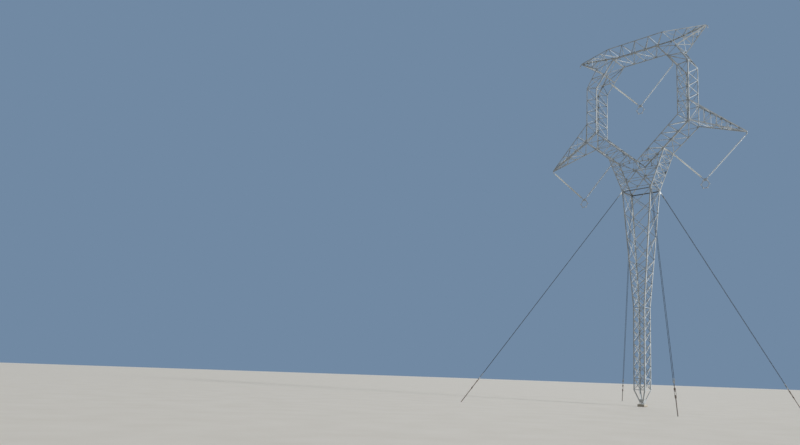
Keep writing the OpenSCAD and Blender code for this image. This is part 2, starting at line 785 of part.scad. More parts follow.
// Plate that closes the tip of a peak or a crossarm, between two points of its end plane
module tip_plate(high, low) {
    along(at_y(low, 0), at_y(high, 0), [0, 1, 0])
        translate([-tip_half - angle_t / 2, -angle_t / 2, 0])
            cube([2 * tip_half + angle_t, angle_t, norm(high - low)]);
}

crossarm_start = [
    spot(column_out_x, arm_root_z, -1), spot(column_out_x, column_foot_z, -1),
    spot(column_out_x, column_foot_z, 1), spot(column_out_x, arm_root_z, 1)
];
crossarm_end = [
    [arm_tip_x, -tip_half, arm_tip_z + tip_h / 2], [arm_tip_x, -tip_half, arm_tip_z - tip_h / 2],
    [arm_tip_x, tip_half, arm_tip_z - tip_h / 2], [arm_tip_x, tip_half, arm_tip_z + tip_h / 2]
];

// Right crossarm
module crossarm() {
    color(steel) {
        truss(
            crossarm_start, crossarm_end, shrinking_cuts(arm_panels, 0.87), chord_w, head_brace_w,
            ["down", "zig", "up", "zag"], [for (i = [1 : arm_panels - 1]) [i, all_round]],
            section_outline(crossarm_start, crossarm_end)
        );
        tip_plate([arm_tip_x, arm_tip_z + tip_h / 2 - 4], [arm_tip_x, arm_tip_z - tip_h / 2 + 4]);
        lug(outer_pin + [-chord_w, 0, 1.8 * chord_w], outer_pin, 0.9 * chord_w);
    }
}

// Insulator string of capped sheds between the pins p and q, with a clevis at both ends
module string(p, q) {
    length = norm(q - p);
    sheds = floor((length - 2 * fitting_l) / shed_pitch);
    first = (length - sheds * shed_pitch) / 2;
    rod = 0.12 * shed_d;
    cap = 0.22 * shed_d;
    profile = [
        for (i = [0 : sheds - 1])
            for (c = [
                [cap, 0], [cap, 0.42], [shed_d / 2, 0.66], [shed_d / 2, 0.76], [2 * rod, 0.84], [rod, 1]
            ]) [c[0], first + (i + c[1]) * shed_pitch]
    ];
    along(p, q, [0, 1, 0]) {
        color("silver") {
            clevis(46, 0.5 * fitting_l);
            translate([0, 0, length])
                mirror([0, 0, 1])
                    clevis(46, 0.5 * fitting_l);
        }
        color("gainsboro")
            rotate_extrude($fn = 24)
                polygon(concat(
                    [[0, 0.44 * fitting_l], [rod, 0.44 * fitting_l], [rod, first]], profile,
                    [[rod, length - 0.44 * fitting_l], [0, length - 0.44 * fitting_l]]
                ));
    }
}

mid_yoke = [0, 0, mid_yoke_z];
out_yoke = [out_yoke_x, 0, out_yoke_z];
right_yoke_pin = [yoke_arm, 0, 0];

// Clamp of one wire of the bundle: a flared saddle with its bore along the line, held by a strap
module bundle_clamp() {
    reach = 0.28 * bundle_r;
    rotate_extrude($fn = 24)
        polygon([
            [8, -reach], [20, -reach], [16, -0.7 * reach], [23, -0.3 * reach], [23, 0.3 * reach],
            [16, 0.7 * reach], [20, reach], [8, reach]
        ]);
}

// Yoke plate with its six clamps in a hexagonal frame, under two strings
module yoke(c) {
    half = 0.06 * bundle_r;
    color("silver")
        translate(c) {
            rotate([90, 0, 0])
                difference() {
                    union() {
                        linear_extrude(height = lug_t, center = true)
                            polygon([
                                [-yoke_arm - 25, 25], [yoke_arm + 25, 25], [yoke_arm + 25, -20],
                                [0.6 * yoke_arm, -125], [-0.6 * yoke_arm, -125], [-yoke_arm - 25, -20]
                            ]);
                        for (s = [-1, 1])
                            translate([s * yoke_arm, 0, 0])
                                cylinder(h = boss_t, d = 2 * pin_d, center = true, $fn = 24);
                    }
                    for (s = [-1, 1])
                        translate([s * yoke_arm, 0, 0])
                            cylinder(h = 2 * boss_t, d = pin_d + 2 * clear, center = true, $fn = 24);
                }
            translate([0, 0, -75 - bundle_r])
                rotate([90, 0, 0]) {
                    difference() {
                        union() {
                            cylinder(h = lug_t - 4, r = bundle_r + half, center = true, $fn = 6);
                            translate([0, 0.86 * bundle_r, 0])
                                cube([1.1 * yoke_arm, 0.24 * bundle_r, lug_t - 2], center = true);
                        }
                        cylinder(h = 2 * lug_t, r = bundle_r - half - 12, center = true, $fn = 6);
                        for (i = [0 : 5])
                            rotate([0, 0, 60 * i])
                                translate([bundle_r, 0, 0])
                                    cylinder(h = 2 * lug_t, r = 12, center = true, $fn = 24);
                    }
                    for (i = [0 : 5])
                        rotate([0, 0, 60 * i])
                            translate([bundle_r, 0, 0])
                                bundle_clamp();
                }
        }
}

// Suspension clamp of an earth wire, pinned under the peak's tip
module earthwire_clamp() {
    drop = 1.9 * chord_w;
    color("silver")
        translate(wire_pin) {
            rotate([180, 0, 0])
                rotate([0, 0, 90])
                    clevis(46, 0.5 * drop);
            translate([-7, -15, 2 - drop])
                cube([14, 30, 0.6 * drop]);
            translate([0, 0, -drop])
                rotate([90, 0, 0])
                    bundle_clamp();
        }
}

anchor_foot = [anchor_x, -anchor_y, 0];
guy_line = unit(guy_top - anchor_foot);
guy_low = anchor_foot + (anchor_rod_l + adjuster_l) * guy_line;

// Yoke at the end of a guy: a clevis on its pin, a plate and the two rope sockets
module guy_end() {
    clevis(52, 120);
    rotate([90, 0, 0])
        linear_extrude(height = 14, center = true)
            polygon([
                [-25, 100], [25, 100], [rope_gap / 2 + 24, 190], [rope_gap / 2 + 24, 260],
                [-rope_gap / 2 - 24, 260], [-rope_gap / 2 - 24, 190]
            ]);
    for (s = [-1, 1])
        translate([s * rope_gap / 2, 0, 240])
            rotate_extrude($fn = 16)
                polygon([
                    [0, 0], [0.9 * rope_d, 0], [0.9 * rope_d, 5 * rope_d], [0.6 * rope_d, 8 * rope_d],
                    [0, 8 * rope_d]
                ]);
}

// Front right guy: two ropes side by side between the yokes at their ends
module guy() {
    length = norm(guy_top - guy_low);
    color("dimgray")
        along(guy_low, guy_top, guy_side) {
            guy_end();
            translate([0, 0, length])
                mirror([0, 0, 1])
                    guy_end();
            for (s = [-1, 1])
                translate([s * rope_gap / 2, 0, 250])
                    cylinder(h = length - 500, d = rope_d, $fn = 8);
        }
}

// Front right anchor rod, from the ground to the plate that takes the guy's lower pin
module anchor() {
    frame_w = 1.9 * anchor_rod_d;
    block = 0.09 * adjuster_l;
    color("tan") {
        intersection() {
            along(anchor_foot - 2 * anchor_rod_d * guy_line, guy_low, guy_side)
                cylinder(h = anchor_rod_l + 5 * anchor_rod_d, d = anchor_rod_d, $fn = 16);
            translate([anchor_x - anchor_rod_l, -anchor_y - anchor_rod_l, 0])
                cube([2 * anchor_rod_l, 2 * anchor_rod_l, 2 * anchor_rod_l]);
        }
        along(anchor_foot + anchor_rod_l * guy_line, guy_low, guy_side) {
            for (z = [0, 0.68 * adjuster_l])
                translate([-frame_w / 2, -0.62 * anchor_rod_d, z])
                    cube([frame_w, 1.24 * anchor_rod_d, block]);
            for (s = [-1, 1])
                translate([s * 0.8 * anchor_rod_d - 7, -0.32 * anchor_rod_d, block / 2])
                    cube([14, 0.64 * anchor_rod_d, 0.68 * adjuster_l]);
            translate([0, 0, 0.5 * adjuster_l])
                cylinder(h = 0.36 * adjuster_l, d = 0.75 * anchor_rod_d, $fn = 16);
        }
        difference() {
            union() {
                along(guy_low - 0.18 * adjuster_l * guy_line, guy_low, guy_side)
                    translate([-lug_t / 2, -0.42 * guy_lug_w, 0])
                        cube([lug_t, 0.84 * guy_lug_w, 0.18 * adjuster_l]);
                along(guy_low - boss_t / 2 * guy_side, guy_low, guy_line)
                    cylinder(h = boss_t, d = guy_lug_w, $fn = 24);
            }
            along(guy_low - boss_t * guy_side, guy_low, guy_line)
                cylinder(h = 2 * boss_t, d = pin_d + 2 * clear, $fn = 24);
        }
    }
}

// Left-hand pieces are the mirror image of the right-hand ones, and back ones of the front ones
module left() {
    mirror([1, 0, 0])
        children();
}

module back() {
    mirror([0, 1, 0])
        children();
}

footing();
mast_shoe();
mast_foot_cone();
mast_lower_section();
mast_middle_section();
mast_flare_lower();
mast_flare_upper();
waist_frame();
crotch_frame();
left() arm_lower();  // left_arm_lower
arm_lower();  // right_arm_lower
left() arm_upper();  // left_arm_upper
arm_upper();  // right_arm_upper
left() column();  // left_column
column();  // right_column
left() shoulder();  // left_shoulder
shoulder();  // right_shoulder
top_beam();
left() peak();  // left_peak
peak();  // right_peak
left() crossarm();  // left_crossarm
crossarm();  // right_crossarm
left() string(outer_pin, out_yoke + right_yoke_pin);  // left_string_outer
left() string(knee_pin, out_yoke - right_yoke_pin);  // left_string_inner
left() string(middle_pin, mid_yoke + right_yoke_pin);  // middle_string_left
string(middle_pin, mid_yoke + right_yoke_pin);  // middle_string_right
string(knee_pin, out_yoke - right_yoke_pin);  // right_string_inner
string(outer_pin, out_yoke + right_yoke_pin);  // right_string_outer
left() yoke(out_yoke);  // left_yoke
yoke(mid_yoke);  // middle_yoke
yoke(out_yoke);  // right_yoke
left() earthwire_clamp();  // left_earthwire_clamp
earthwire_clamp();  // right_earthwire_clamp
left() guy();  // guy_front_left
guy();  // guy_front_right
left() back() guy();  // guy_back_left
back() guy();  // guy_back_right
left() anchor();  // anchor_front_left
anchor();  // anchor_front_right
left() back() anchor();  // anchor_back_left
back() anchor();  // anchor_back_right
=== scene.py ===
import math

import bpy
import bmesh
from mathutils import Matrix, Vector
from mathutils.geometry import convex_hull_2d


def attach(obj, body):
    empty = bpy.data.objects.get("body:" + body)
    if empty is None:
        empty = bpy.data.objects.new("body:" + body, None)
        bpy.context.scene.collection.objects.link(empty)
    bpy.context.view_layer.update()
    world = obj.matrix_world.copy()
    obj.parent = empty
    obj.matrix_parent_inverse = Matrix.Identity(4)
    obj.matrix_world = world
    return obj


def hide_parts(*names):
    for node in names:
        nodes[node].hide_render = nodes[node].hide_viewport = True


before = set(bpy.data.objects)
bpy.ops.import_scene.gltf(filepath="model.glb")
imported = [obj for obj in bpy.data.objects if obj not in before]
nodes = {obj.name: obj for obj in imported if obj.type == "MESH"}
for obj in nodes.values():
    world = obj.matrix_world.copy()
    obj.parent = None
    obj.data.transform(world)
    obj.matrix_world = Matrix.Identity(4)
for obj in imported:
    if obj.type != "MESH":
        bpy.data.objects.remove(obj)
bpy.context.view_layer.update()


# Camera: at about a person's eye height above flat ground, 43 m off and 28 degrees to the right of
# the line that the pylon carries, turned up to take in the whole height.
def camera_turn(azimuth, yaw, pitch, roll):
    # it looks at the mast's axis, and is then turned to the left, up, and about its own line of sight
    right = Vector((math.cos(azimuth), math.sin(azimuth), 0))
    ahead = Vector((-math.sin(azimuth), math.cos(azimuth), 0))
    to_camera = Matrix((right, ahead, Vector((0, 0, 1))))
    tilt = Matrix.Rotation(-roll, 3, "Y").transposed() @ Matrix.Rotation(-pitch, 3, "X")
    x, y, z = tilt @ Matrix.Rotation(-yaw, 3, "Z") @ to_camera
    return Matrix((x, z, -y)).transposed()


CAMERA_DISTANCE, CAMERA_HEIGHT = 43.435, 1.395
AZIMUTH, YAW, TILT, ROLL = (math.radians(angle) for angle in (27.93, 12.404, 11.069, 1.986))
# focal length in pixels, in a picture 800 pixels wide
FOCAL_PIXELS, PICTURE_WIDTH = 674.1, 800

lens = bpy.data.cameras.new("camera")
lens.sensor_width = 36
lens.lens = 36 * FOCAL_PIXELS / PICTURE_WIDTH
lens.shift_x = -0.12
lens.shift_y = 0.03
lens.clip_end = 2000
camera = bpy.data.objects.new("camera", lens)
camera.matrix_world = Matrix.Translation((
    CAMERA_DISTANCE * math.sin(AZIMUTH), -CAMERA_DISTANCE * math.cos(AZIMUTH), CAMERA_HEIGHT
)) @ camera_turn(AZIMUTH, YAW, TILT, ROLL).to_4x4()
bpy.context.collection.objects.link(camera)
bpy.context.scene.camera = camera
bpy.context.scene.view_settings.view_transform = "Standard"


# Studio: a pale floor and a plain blue-grey backdrop, soft light from all round, a broad lamp from
# the right, low enough that upright faces turned to it come out bright, and a weak fill from behind.
def from_hex(text):
    channels = [int(text[i:i + 2], 16) / 255 for i in (1, 3, 5)]
    return [c / 12.92 if c <= 0.04045 else ((c + 0.055) / 1.055) ** 2.4 for c in channels] + [1.0]


def add(tree, kind, settings, sockets):
    made = tree.nodes.new(kind)
    for name, value in settings.items():
        setattr(made, name, value)
    for name, value in sockets.items():
        if isinstance(value, bpy.types.NodeSocket):
            tree.links.new(value, made.inputs[name])
        else:
            made.inputs[name].default_value = value
    return made


def seen_share(tree):
    # 1 where a ray shows the studio, straight or in metal, and 0 where it lights the steel
    rays = add(tree, "ShaderNodeLightPath", {}, {})
    share = rays.outputs["Is Camera Ray"]
    for kind in ("Is Glossy Ray", "Is Transmission Ray"):
        share = add(tree, "ShaderNodeMath", {"operation": "ADD", "use_clamp": True}, {
            0: share, 1: rays.outputs[kind]}).outputs[0]
    return share


BACKDROP = "#7189A3"
FLOOR, FLOOR_MOTTLE, FLOOR_LIGHT = "#F4F1EA", "#E6E2D8", "#A8A59E"
FLOOR_HALF = 900
AMBIENT = 0.22
# name, strength, width in degrees, and the way to it
LAMPS = (("broad_lamp", 3.1, 9, (0.95, -0.04, 0.3)), ("fill_lamp", 0.6, 40, (-0.5, 0.8, 0.4)))

world = bpy.data.worlds.new("studio")
bpy.context.scene.world = world
world.use_nodes = True
sky = world.node_tree
sky.nodes.clear()
light = add(sky, "ShaderNodeBackground", {}, {"Color": from_hex("#FFFFFF"), "Strength": AMBIENT})
shown = add(sky, "ShaderNodeBackground", {}, {"Color": from_hex(BACKDROP), "Strength": 1.0})
both = add(sky, "ShaderNodeMixShader", {}, {0: seen_share(sky), 1: light.outputs[0], 2: shown.outputs[0]})
add(sky, "ShaderNodeOutputWorld", {}, {"Surface": both.outputs[0]})

for name, energy, width, lamp_from in LAMPS:
    lamp = bpy.data.lights.new(name, "SUN")
    lamp.energy = energy
    lamp.angle = math.radians(width)
    lamp_object = bpy.data.objects.new(name, lamp)
    lamp_object.rotation_euler = Vector(lamp_from).to_track_quat("Z", "Y").to_euler()
    bpy.context.collection.objects.link(lamp_object)

floor_mesh = bpy.data.meshes.new("floor")
shape = bmesh.new()
bmesh.ops.create_grid(shape, x_segments=1, y_segments=1, size=FLOOR_HALF)
shape.to_mesh(floor_mesh)
shape.free()
floor = bpy.data.objects.new("floor", floor_mesh)
bpy.context.collection.objects.link(floor)
floor_paint = bpy.data.materials.new("matt_floor_paint")
floor_paint.use_nodes = True
paint_tree = floor_paint.node_tree
place = add(paint_tree, "ShaderNodeTexCoord", {}, {})
# mottle, worn patches about 1.7 m across
mottle = add(paint_tree, "ShaderNodeTexNoise", {}, {
    "Vector": place.outputs["Object"], "Scale": 0.6, "Detail": 5.0})
tint = add(paint_tree, "ShaderNodeMix", {"data_type": "RGBA"}, {
    0: mottle.outputs["Fac"], 6: from_hex(FLOOR), 7: from_hex(FLOOR_MOTTLE)})
# the floor throws less light up than its paint would, so that the undersides of the steel stay dark
tint = add(paint_tree, "ShaderNodeMix", {"data_type": "RGBA"}, {
    0: seen_share(paint_tree), 6: from_hex(FLOOR_LIGHT), 7: tint.outputs[2]})
finish = paint_tree.nodes["Principled BSDF"]
paint_tree.links.new(tint.outputs[2], finish.inputs["Base Color"])
finish.inputs["Roughness"].default_value = 0.9
floor_mesh.materials.append(floor_paint)


# Steel angles of the mast and the head: hot-dip galvanised, then left out for decades, so the zinc
# is matt, patchy between pale and mid grey, with faint rust-coloured runs down the bars.
MM = 0.001


def zinc_finish(name, pale, dull, run, run_share, roughness):
    made = bpy.data.materials.new(name)
    made.use_nodes = True
    tree = made.node_tree
    shader = tree.nodes["Principled BSDF"]
    place = add(tree, "ShaderNodeTexCoord", {}, {}).outputs["Object"]
    # patches of different age, about 400 mm across
    patch = add(tree, "ShaderNodeTexNoise", {}, {
        "Vector": place, "Scale": 2.5, "Detail": 6.0, "Roughness": 0.6})
    patch = add(tree, "ShaderNodeMapRange", {"clamp": True}, {
        "Value": patch.outputs["Fac"], "From Min": 0.35, "From Max": 0.65})
    tone = add(tree, "ShaderNodeMix", {"data_type": "RGBA"}, {
        0: patch.outputs[0], 6: from_hex(pale), 7: from_hex(dull)})
    # spangle, zinc crystals 6 mm across
    spangle = add(tree, "ShaderNodeTexVoronoi", {}, {"Vector": place, "Scale": 160.0})
    crystal = add(tree, "ShaderNodeRGBToBW", {}, {"Color": spangle.outputs["Color"]})
    grain = add(tree, "ShaderNodeMix", {"data_type": "RGBA", "blend_type": "SOFT_LIGHT"}, {
        0: 0.18, 6: tone.outputs[2], 7: crystal.outputs[0]})
    # runs, 17 mm wide and 700 mm long
    stretched = add(tree, "ShaderNodeMapping", {}, {"Vector": place, "Scale": (60.0, 60.0, 1.4)})
    runs = add(tree, "ShaderNodeTexNoise", {}, {
        "Vector": stretched.outputs[0], "Scale": 1.0, "Detail": 4.0})
    runs = add(tree, "ShaderNodeMapRange", {"clamp": True}, {
        "Value": runs.outputs["Fac"], "From Min": 0.58, "From Max": 0.8, "To Max": run_share})
    colour = add(tree, "ShaderNodeMix", {"data_type": "RGBA"}, {
        0: runs.outputs[0], 6: grain.outputs[2], 7: from_hex(run)})
    tree.links.new(colour.outputs[2], shader.inputs["Base Color"])
    # each crystal is duller towards its edge
    gloss = add(tree, "ShaderNodeMapRange", {}, {
        "Value": spangle.outputs["Distance"], "From Max": 0.6,
        "To Min": roughness - 0.06, "To Max": roughness + 0.08})
    tree.links.new(gloss.outputs[0], shader.inputs["Roughness"])
    # pits left by the dip, 4 mm across and a tenth of a millimetre deep
    pits = add(tree, "ShaderNodeTexNoise", {}, {"Vector": place, "Scale": 220.0, "Detail": 3.0})
    bump = add(tree, "ShaderNodeBump", {}, {
        "Strength": 0.25, "Distance": 0.4 * MM, "Height": pits.outputs["Fac"]})
    tree.links.new(bump.outputs[0], shader.inputs["Normal"])
    shader.inputs["Metallic"].default_value = 0.3
    return made


# pale and dull tone, colour of the runs and how much they show, and the roughness
weathered_zinc = zinc_finish("weathered_galvanised_steel", "#D5D9D9", "#B0B6B8", "#8F877C", 0.12, 0.58)
LATTICE_NODES = [
    name for name in nodes
    if name.startswith(("mast_", "waist_", "crotch_", "top_")) or name.endswith((
        "arm_lower", "arm_upper", "_column", "_shoulder", "_peak", "_crossarm"))
]


def refinish(name, material):
    mesh = nodes[name].data
    if not nodes[name].material_slots:
        mesh.materials.append(material)
    for held in nodes[name].material_slots:
        held.material = material


for name in LATTICE_NODES:
    refinish(name, weathered_zinc)


# Belt of the waist: angles painted a darker grey than the rest, painted shade that tones down the lamp's
# bright glint at the waist's corners.
# They are bolted to the four corners, beside the guys' plates.
painted_shade_zinc = zinc_finish("painted_shade_galvanised_steel", "#969B9D", "#7C8184", "#70665E", 0.2, 0.6)
refinish("waist_frame", painted_shade_zinc)


# Joint plates and bolts of the lattice: the head's braces meet on small gusset plates in the plane
# of the chords' flanges, and the mast's crossed braces are bolted straight to the legs. The
# lattice's nodes are worked out again here, from the sizes that the steelwork is built to.
WAIST_X, WAIST_Y, HEAD_Y, MAST_HALF = 1.04, 0.645, 0.745, 0.4
# heights of the foot cone's top, the lowest belt, the flare's start and the waist
CONE_TOP, LOW_BELT, FLARE, WAIST_Z = 0.99, 1.68, 6.08, 13.7
# widths of the angles, their thickness, and how far a brace is let into the flange it lies on
LEG, CHORD = 0.075, 0.06
MAST_BRACE, HEAD_BRACE = 0.036, 0.032
FLANGE, BRACE_T, LET_IN = 0.008, 0.005, 0.0015
# share of a flange at which the bars' middle lines meet
GAUGE = 0.55
# corners of the head, as distance from the middle and height
KNEE = (2.02, 16.08)
CROTCH_Z = 15.56
COLUMN_FOOT, COLUMN_HEEL = (3.755, 17.53), (2.955, 18.11)
COLUMN_TOP, COLUMN_TOE = (3.755, 21.57), (2.955, 21.39)
SHOULDER, BEAM_LOW, BEAM_TOP = (2.99, 22.805), (1.635, 23.13), (2.03, 24.05)
PEAK, ARM_TIP, ARM_ROOT_Z = (4.655, 24.0), (7.01, 16.29), 18.92
# half width and height of the tips of peaks and crossarms
TIP_HALF, TIP_H = 0.036, 0.092
# where the knee's inner corner lies on the line from the notch to the column's heel
KNEE_SHARE = 0.44
# panels of the straight mast, from its lowest belt to the flare
STRAIGHT_PANELS = 6


def rise(x, z):
    # height over the waist, counted so that the slanting heel of a column is level
    heel_slope = (COLUMN_HEEL[1] - COLUMN_FOOT[1]) / (COLUMN_FOOT[0] - COLUMN_HEEL[0])
    return heel_slope * (x - WAIST_X) + z - WAIST_Z


def spot(x, z, face):
    # a point of the head's front, -1, or back, 1, which lean outwards from the waist to the columns
    share = rise(x, z) / rise(*COLUMN_FOOT)
    return Vector((x, face * min(HEAD_Y, WAIST_Y + (HEAD_Y - WAIST_Y) * share), z))


def square_at(z, hx, hy):
    return [Vector((-hx, -hy, z)), Vector((hx, -hy, z)), Vector((hx, hy, z)), Vector((-hx, hy, z))]


def cut_through(outer, inner):
    # the four corners of an arm or a column, from its outer to its inner edge, front first
    return [spot(*outer, -1), spot(*inner, -1), spot(*inner, 1), spot(*outer, 1)]


def at_depth(points, depth):
    return [Vector((x, side * depth, z)) for (x, z), side in zip(points, (-1, -1, 1, 1))]


def even(count):
    return [i / count for i in range(count + 1)]


def shrinking(count, ratio):
    # shares at which panels end, when each is ratio times as long as the one before
    total = (1 - ratio ** count) / (1 - ratio)
    return [(1 - ratio ** i) / (1 - ratio) / total for i in range(count + 1)]


def flare_at(share):
    return square_at(
        FLARE + (WAIST_Z - FLARE) * share, MAST_HALF + (WAIST_X - MAST_HALF) * share,
        MAST_HALF + (WAIST_Y - MAST_HALF) * share)


# four short panels at the flare's foot, and three twice as tall over them
flare_cuts = [i / 10 for i in (0, 1, 2, 3, 4, 6, 8, 10)]
step = (FLARE - LOW_BELT) / STRAIGHT_PANELS
middle_z = LOW_BELT + 3 * step
lower_cuts = [0] + [(LOW_BELT + i * step - CONE_TOP) / (middle_z - CONE_TOP) for i in range(4)]
split = flare_cuts[4]
knee_in = (COLUMN_HEEL[0] * KNEE_SHARE, CROTCH_Z + (COLUMN_HEEL[1] - CROTCH_Z) * KNEE_SHARE)
arm_knee = cut_through(KNEE, knee_in)
arm_end = cut_through(COLUMN_FOOT, COLUMN_HEEL)
arm_start = cut_through((WAIST_X, WAIST_Z), (0, CROTCH_Z))
column_end = cut_through(COLUMN_TOP, COLUMN_TOE)
shoulder_end = cut_through(SHOULDER, BEAM_LOW)
column_root = cut_through((COLUMN_FOOT[0], ARM_ROOT_Z), (COLUMN_HEEL[0], ARM_ROOT_Z))
column_patterns = ["down", "down", "up", "down"]
beam_end = at_depth((BEAM_TOP, BEAM_LOW, BEAM_LOW, BEAM_TOP), HEAD_Y)
beam_start = [Vector((-p.x, p.y, p.z)) for p in beam_end]
peak_start = at_depth((BEAM_TOP, SHOULDER, SHOULDER, BEAM_TOP), HEAD_Y)
slant = (Vector(SHOULDER) - Vector(BEAM_TOP)).normalized() * TIP_H
peak_low = (PEAK[0] + slant.x, PEAK[1] + slant.y)
peak_end = at_depth((PEAK, peak_low, peak_low, PEAK), TIP_HALF)
crossarm_start = at_depth(
    ((COLUMN_FOOT[0], ARM_ROOT_Z), COLUMN_FOOT, COLUMN_FOOT, (COLUMN_FOOT[0], ARM_ROOT_Z)), HEAD_Y)
tip_top, tip_low = (ARM_TIP[0], ARM_TIP[1] + TIP_H / 2), (ARM_TIP[0], ARM_TIP[1] - TIP_H / 2)
crossarm_end = at_depth((tip_top, tip_low, tip_low, tip_top), TIP_HALF)

crossed = ["x"] * 4
every = {face: [0, 1, 2, 3, 4, 5] for face in range(4)}
# node, corners at both ends, cuts, leg, brace, pattern of each face, and the cuts with a strut there
STEELWORK = [
    ("mast_lower", square_at(CONE_TOP, MAST_HALF, MAST_HALF), square_at(middle_z, MAST_HALF, MAST_HALF),
     lower_cuts, LEG, MAST_BRACE, crossed, {f: [0, 1] for f in range(4)}),
    ("mast_middle", square_at(middle_z, MAST_HALF, MAST_HALF), square_at(FLARE, MAST_HALF, MAST_HALF),
     even(3), LEG, MAST_BRACE, crossed, {f: [3] for f in range(4)}),
    ("flare_lower", flare_at(0), flare_at(split), [c / split for c in flare_cuts[:5]],
     LEG, MAST_BRACE, crossed, {}),
    ("flare_upper", flare_at(split), flare_at(1), [(c - split) / (1 - split) for c in flare_cuts[4:]],
     LEG, MAST_BRACE, crossed, {}),
    ("arm_upper", arm_knee, arm_end, [0, 0.3, 0.6, 1], CHORD, HEAD_BRACE, ["down", "up", "up", "zig"],
     {f: [1, 2, 3] for f in range(4)}),
    ("column_root", arm_end, column_root, even(1), CHORD, HEAD_BRACE, column_patterns, {}),
    ("column", column_root, column_end, even(3), CHORD, HEAD_BRACE, column_patterns, every),
    ("shoulder", column_end, shoulder_end, even(2), CHORD, HEAD_BRACE, ["zig", "up", "zig", "down"],
     {0: [1, 2], 1: [2], 2: [1, 2], 3: [1, 2]}),
    ("beam", beam_start, beam_end, even(4), CHORD, HEAD_BRACE, ["up", "zig", "up", "up"], every),
    ("peak", peak_start, peak_end, shrinking(4, 0.85), CHORD, HEAD_BRACE, ["zig", "zig", "zig", "up"],
     {f: [1, 2, 3] if f % 2 else [0, 1, 2, 3] for f in range(4)}),
    ("crossarm", crossarm_start, crossarm_end, shrinking(5, 0.87), CHORD, HEAD_BRACE,
     ["down", "zig", "up", "zag"], {f: [1, 2, 3, 4] for f in range(4)}),
]


def on_leg(a, b, share, setback):
    # a point of leg a, set back from its edge towards leg b
    p, q = a[0].lerp(a[1], share), b[0].lerp(b[1], share)
    return p + (q - p).normalized() * min(setback, (q - p).length / 4)


def inward(a, b, inside):
    # the way into the section, square to the face between legs a and b
    normal = (b[0].lerp(b[1], 0.5) - a[0].lerp(a[1], 0.5)).cross(a[1] - a[0]).normalized()
    return normal if normal.dot(inside - a[0]) >= 0 else -normal


def turned_to(point, z, x):
    # a place at the point, with its z axis along z and its x axis as near to x as it can be
    z = z.normalized()
    x = (x - x.dot(z) * z).normalized()
    turn = Matrix((x, z.cross(x), z)).transposed().to_4x4()
    turn.translation = point
    return turn


def hexagon(shape, point, outward, radius, height):
    side = outward.orthogonal()
    middle = turned_to(point + outward * height / 2, outward, side)
    bmesh.ops.create_cone(
        shape, cap_ends=True, segments=6, radius1=radius, radius2=radius * 0.94, depth=height,
        matrix=middle)


# half of the width across the corners of an M20 bolt's head, at half of its real size
BOLT = 8.5 * MM
# depths under a panel's plane: inner face of a brace, and outer face of one laid on the outside
BRACE_IN, BRACE_OUT = FLANGE - LET_IN + BRACE_T, LET_IN - BRACE_T
# the plates' outer face and thickness, and their gap to the brace behind them
PLATE_DEPTH, PLATE_T, PLATE_GAP = 0.8 * MM, 5.2 * MM, 0.4 * MM
# how far a plate follows a brace, and half of its length along the chord
PLATE_REACH, PLATE_HALF = 0.11, 62 * MM
# distances of a brace's two bolts from the end of the plate
PLATE_BOLTS = (15 * MM, 45 * MM)
# a panel narrower than this has no plates
NARROW = 0.28
# above this height, the beam's and the peaks' upper edge
TOP_EDGE_Z = 23.9


def bolt(shape, point, normal, head_at, nut_at, size=BOLT):
    if head_at is not None:
        hexagon(shape, point + normal * head_at, -normal, size, 0.66 * size)
    hexagon(shape, point + normal * nut_at, normal, size, 0.8 * size)


def gusset(shape, normal, points, depth=PLATE_DEPTH):
    # a flat plate with the outline that the points span
    x = normal.orthogonal().normalized()
    y = normal.cross(x)
    flat = [((p - points[0]).dot(x), (p - points[0]).dot(y)) for p in points]
    around = [points[0] + x * flat[i][0] + y * flat[i][1] + normal * depth for i in convex_hull_2d(flat)]
    face = shape.faces.new([shape.verts.new(p) for p in around])
    made = bmesh.ops.extrude_face_region(shape, geom=[face])
    raised = [v for v in made["geom"] if isinstance(v, bmesh.types.BMVert)]
    bmesh.ops.translate(shape, verts=raised, vec=normal * PLATE_T)


def brace_bolts(shape, point, along, normal, reaches, head_at, nut_at):
    # no head stands on the highest edge
    top_face = normal.z < -0.9 and point.z > TOP_EDGE_Z
    for reach in reaches:
        bolt(shape, point + along * reach, normal, None if top_face else head_at, nut_at)


def joint_plate(shape, normal, points, bars, width, depth=PLATE_DEPTH):
    points = list(points)
    for p, q in bars:
        along = (q - p).normalized()
        square = normal.cross(along)
        reach = min(PLATE_REACH, 0.3 * (q - p).length)
        points += [p + along * reach + square * 0.5 * width, p + along * reach - square * 0.5 * width]
        brace_bolts(
            shape, p, along, normal, [reach - back for back in PLATE_BOLTS],
            depth, depth + PLATE_T + PLATE_GAP + BRACE_T)
    gusset(shape, normal, points, depth)


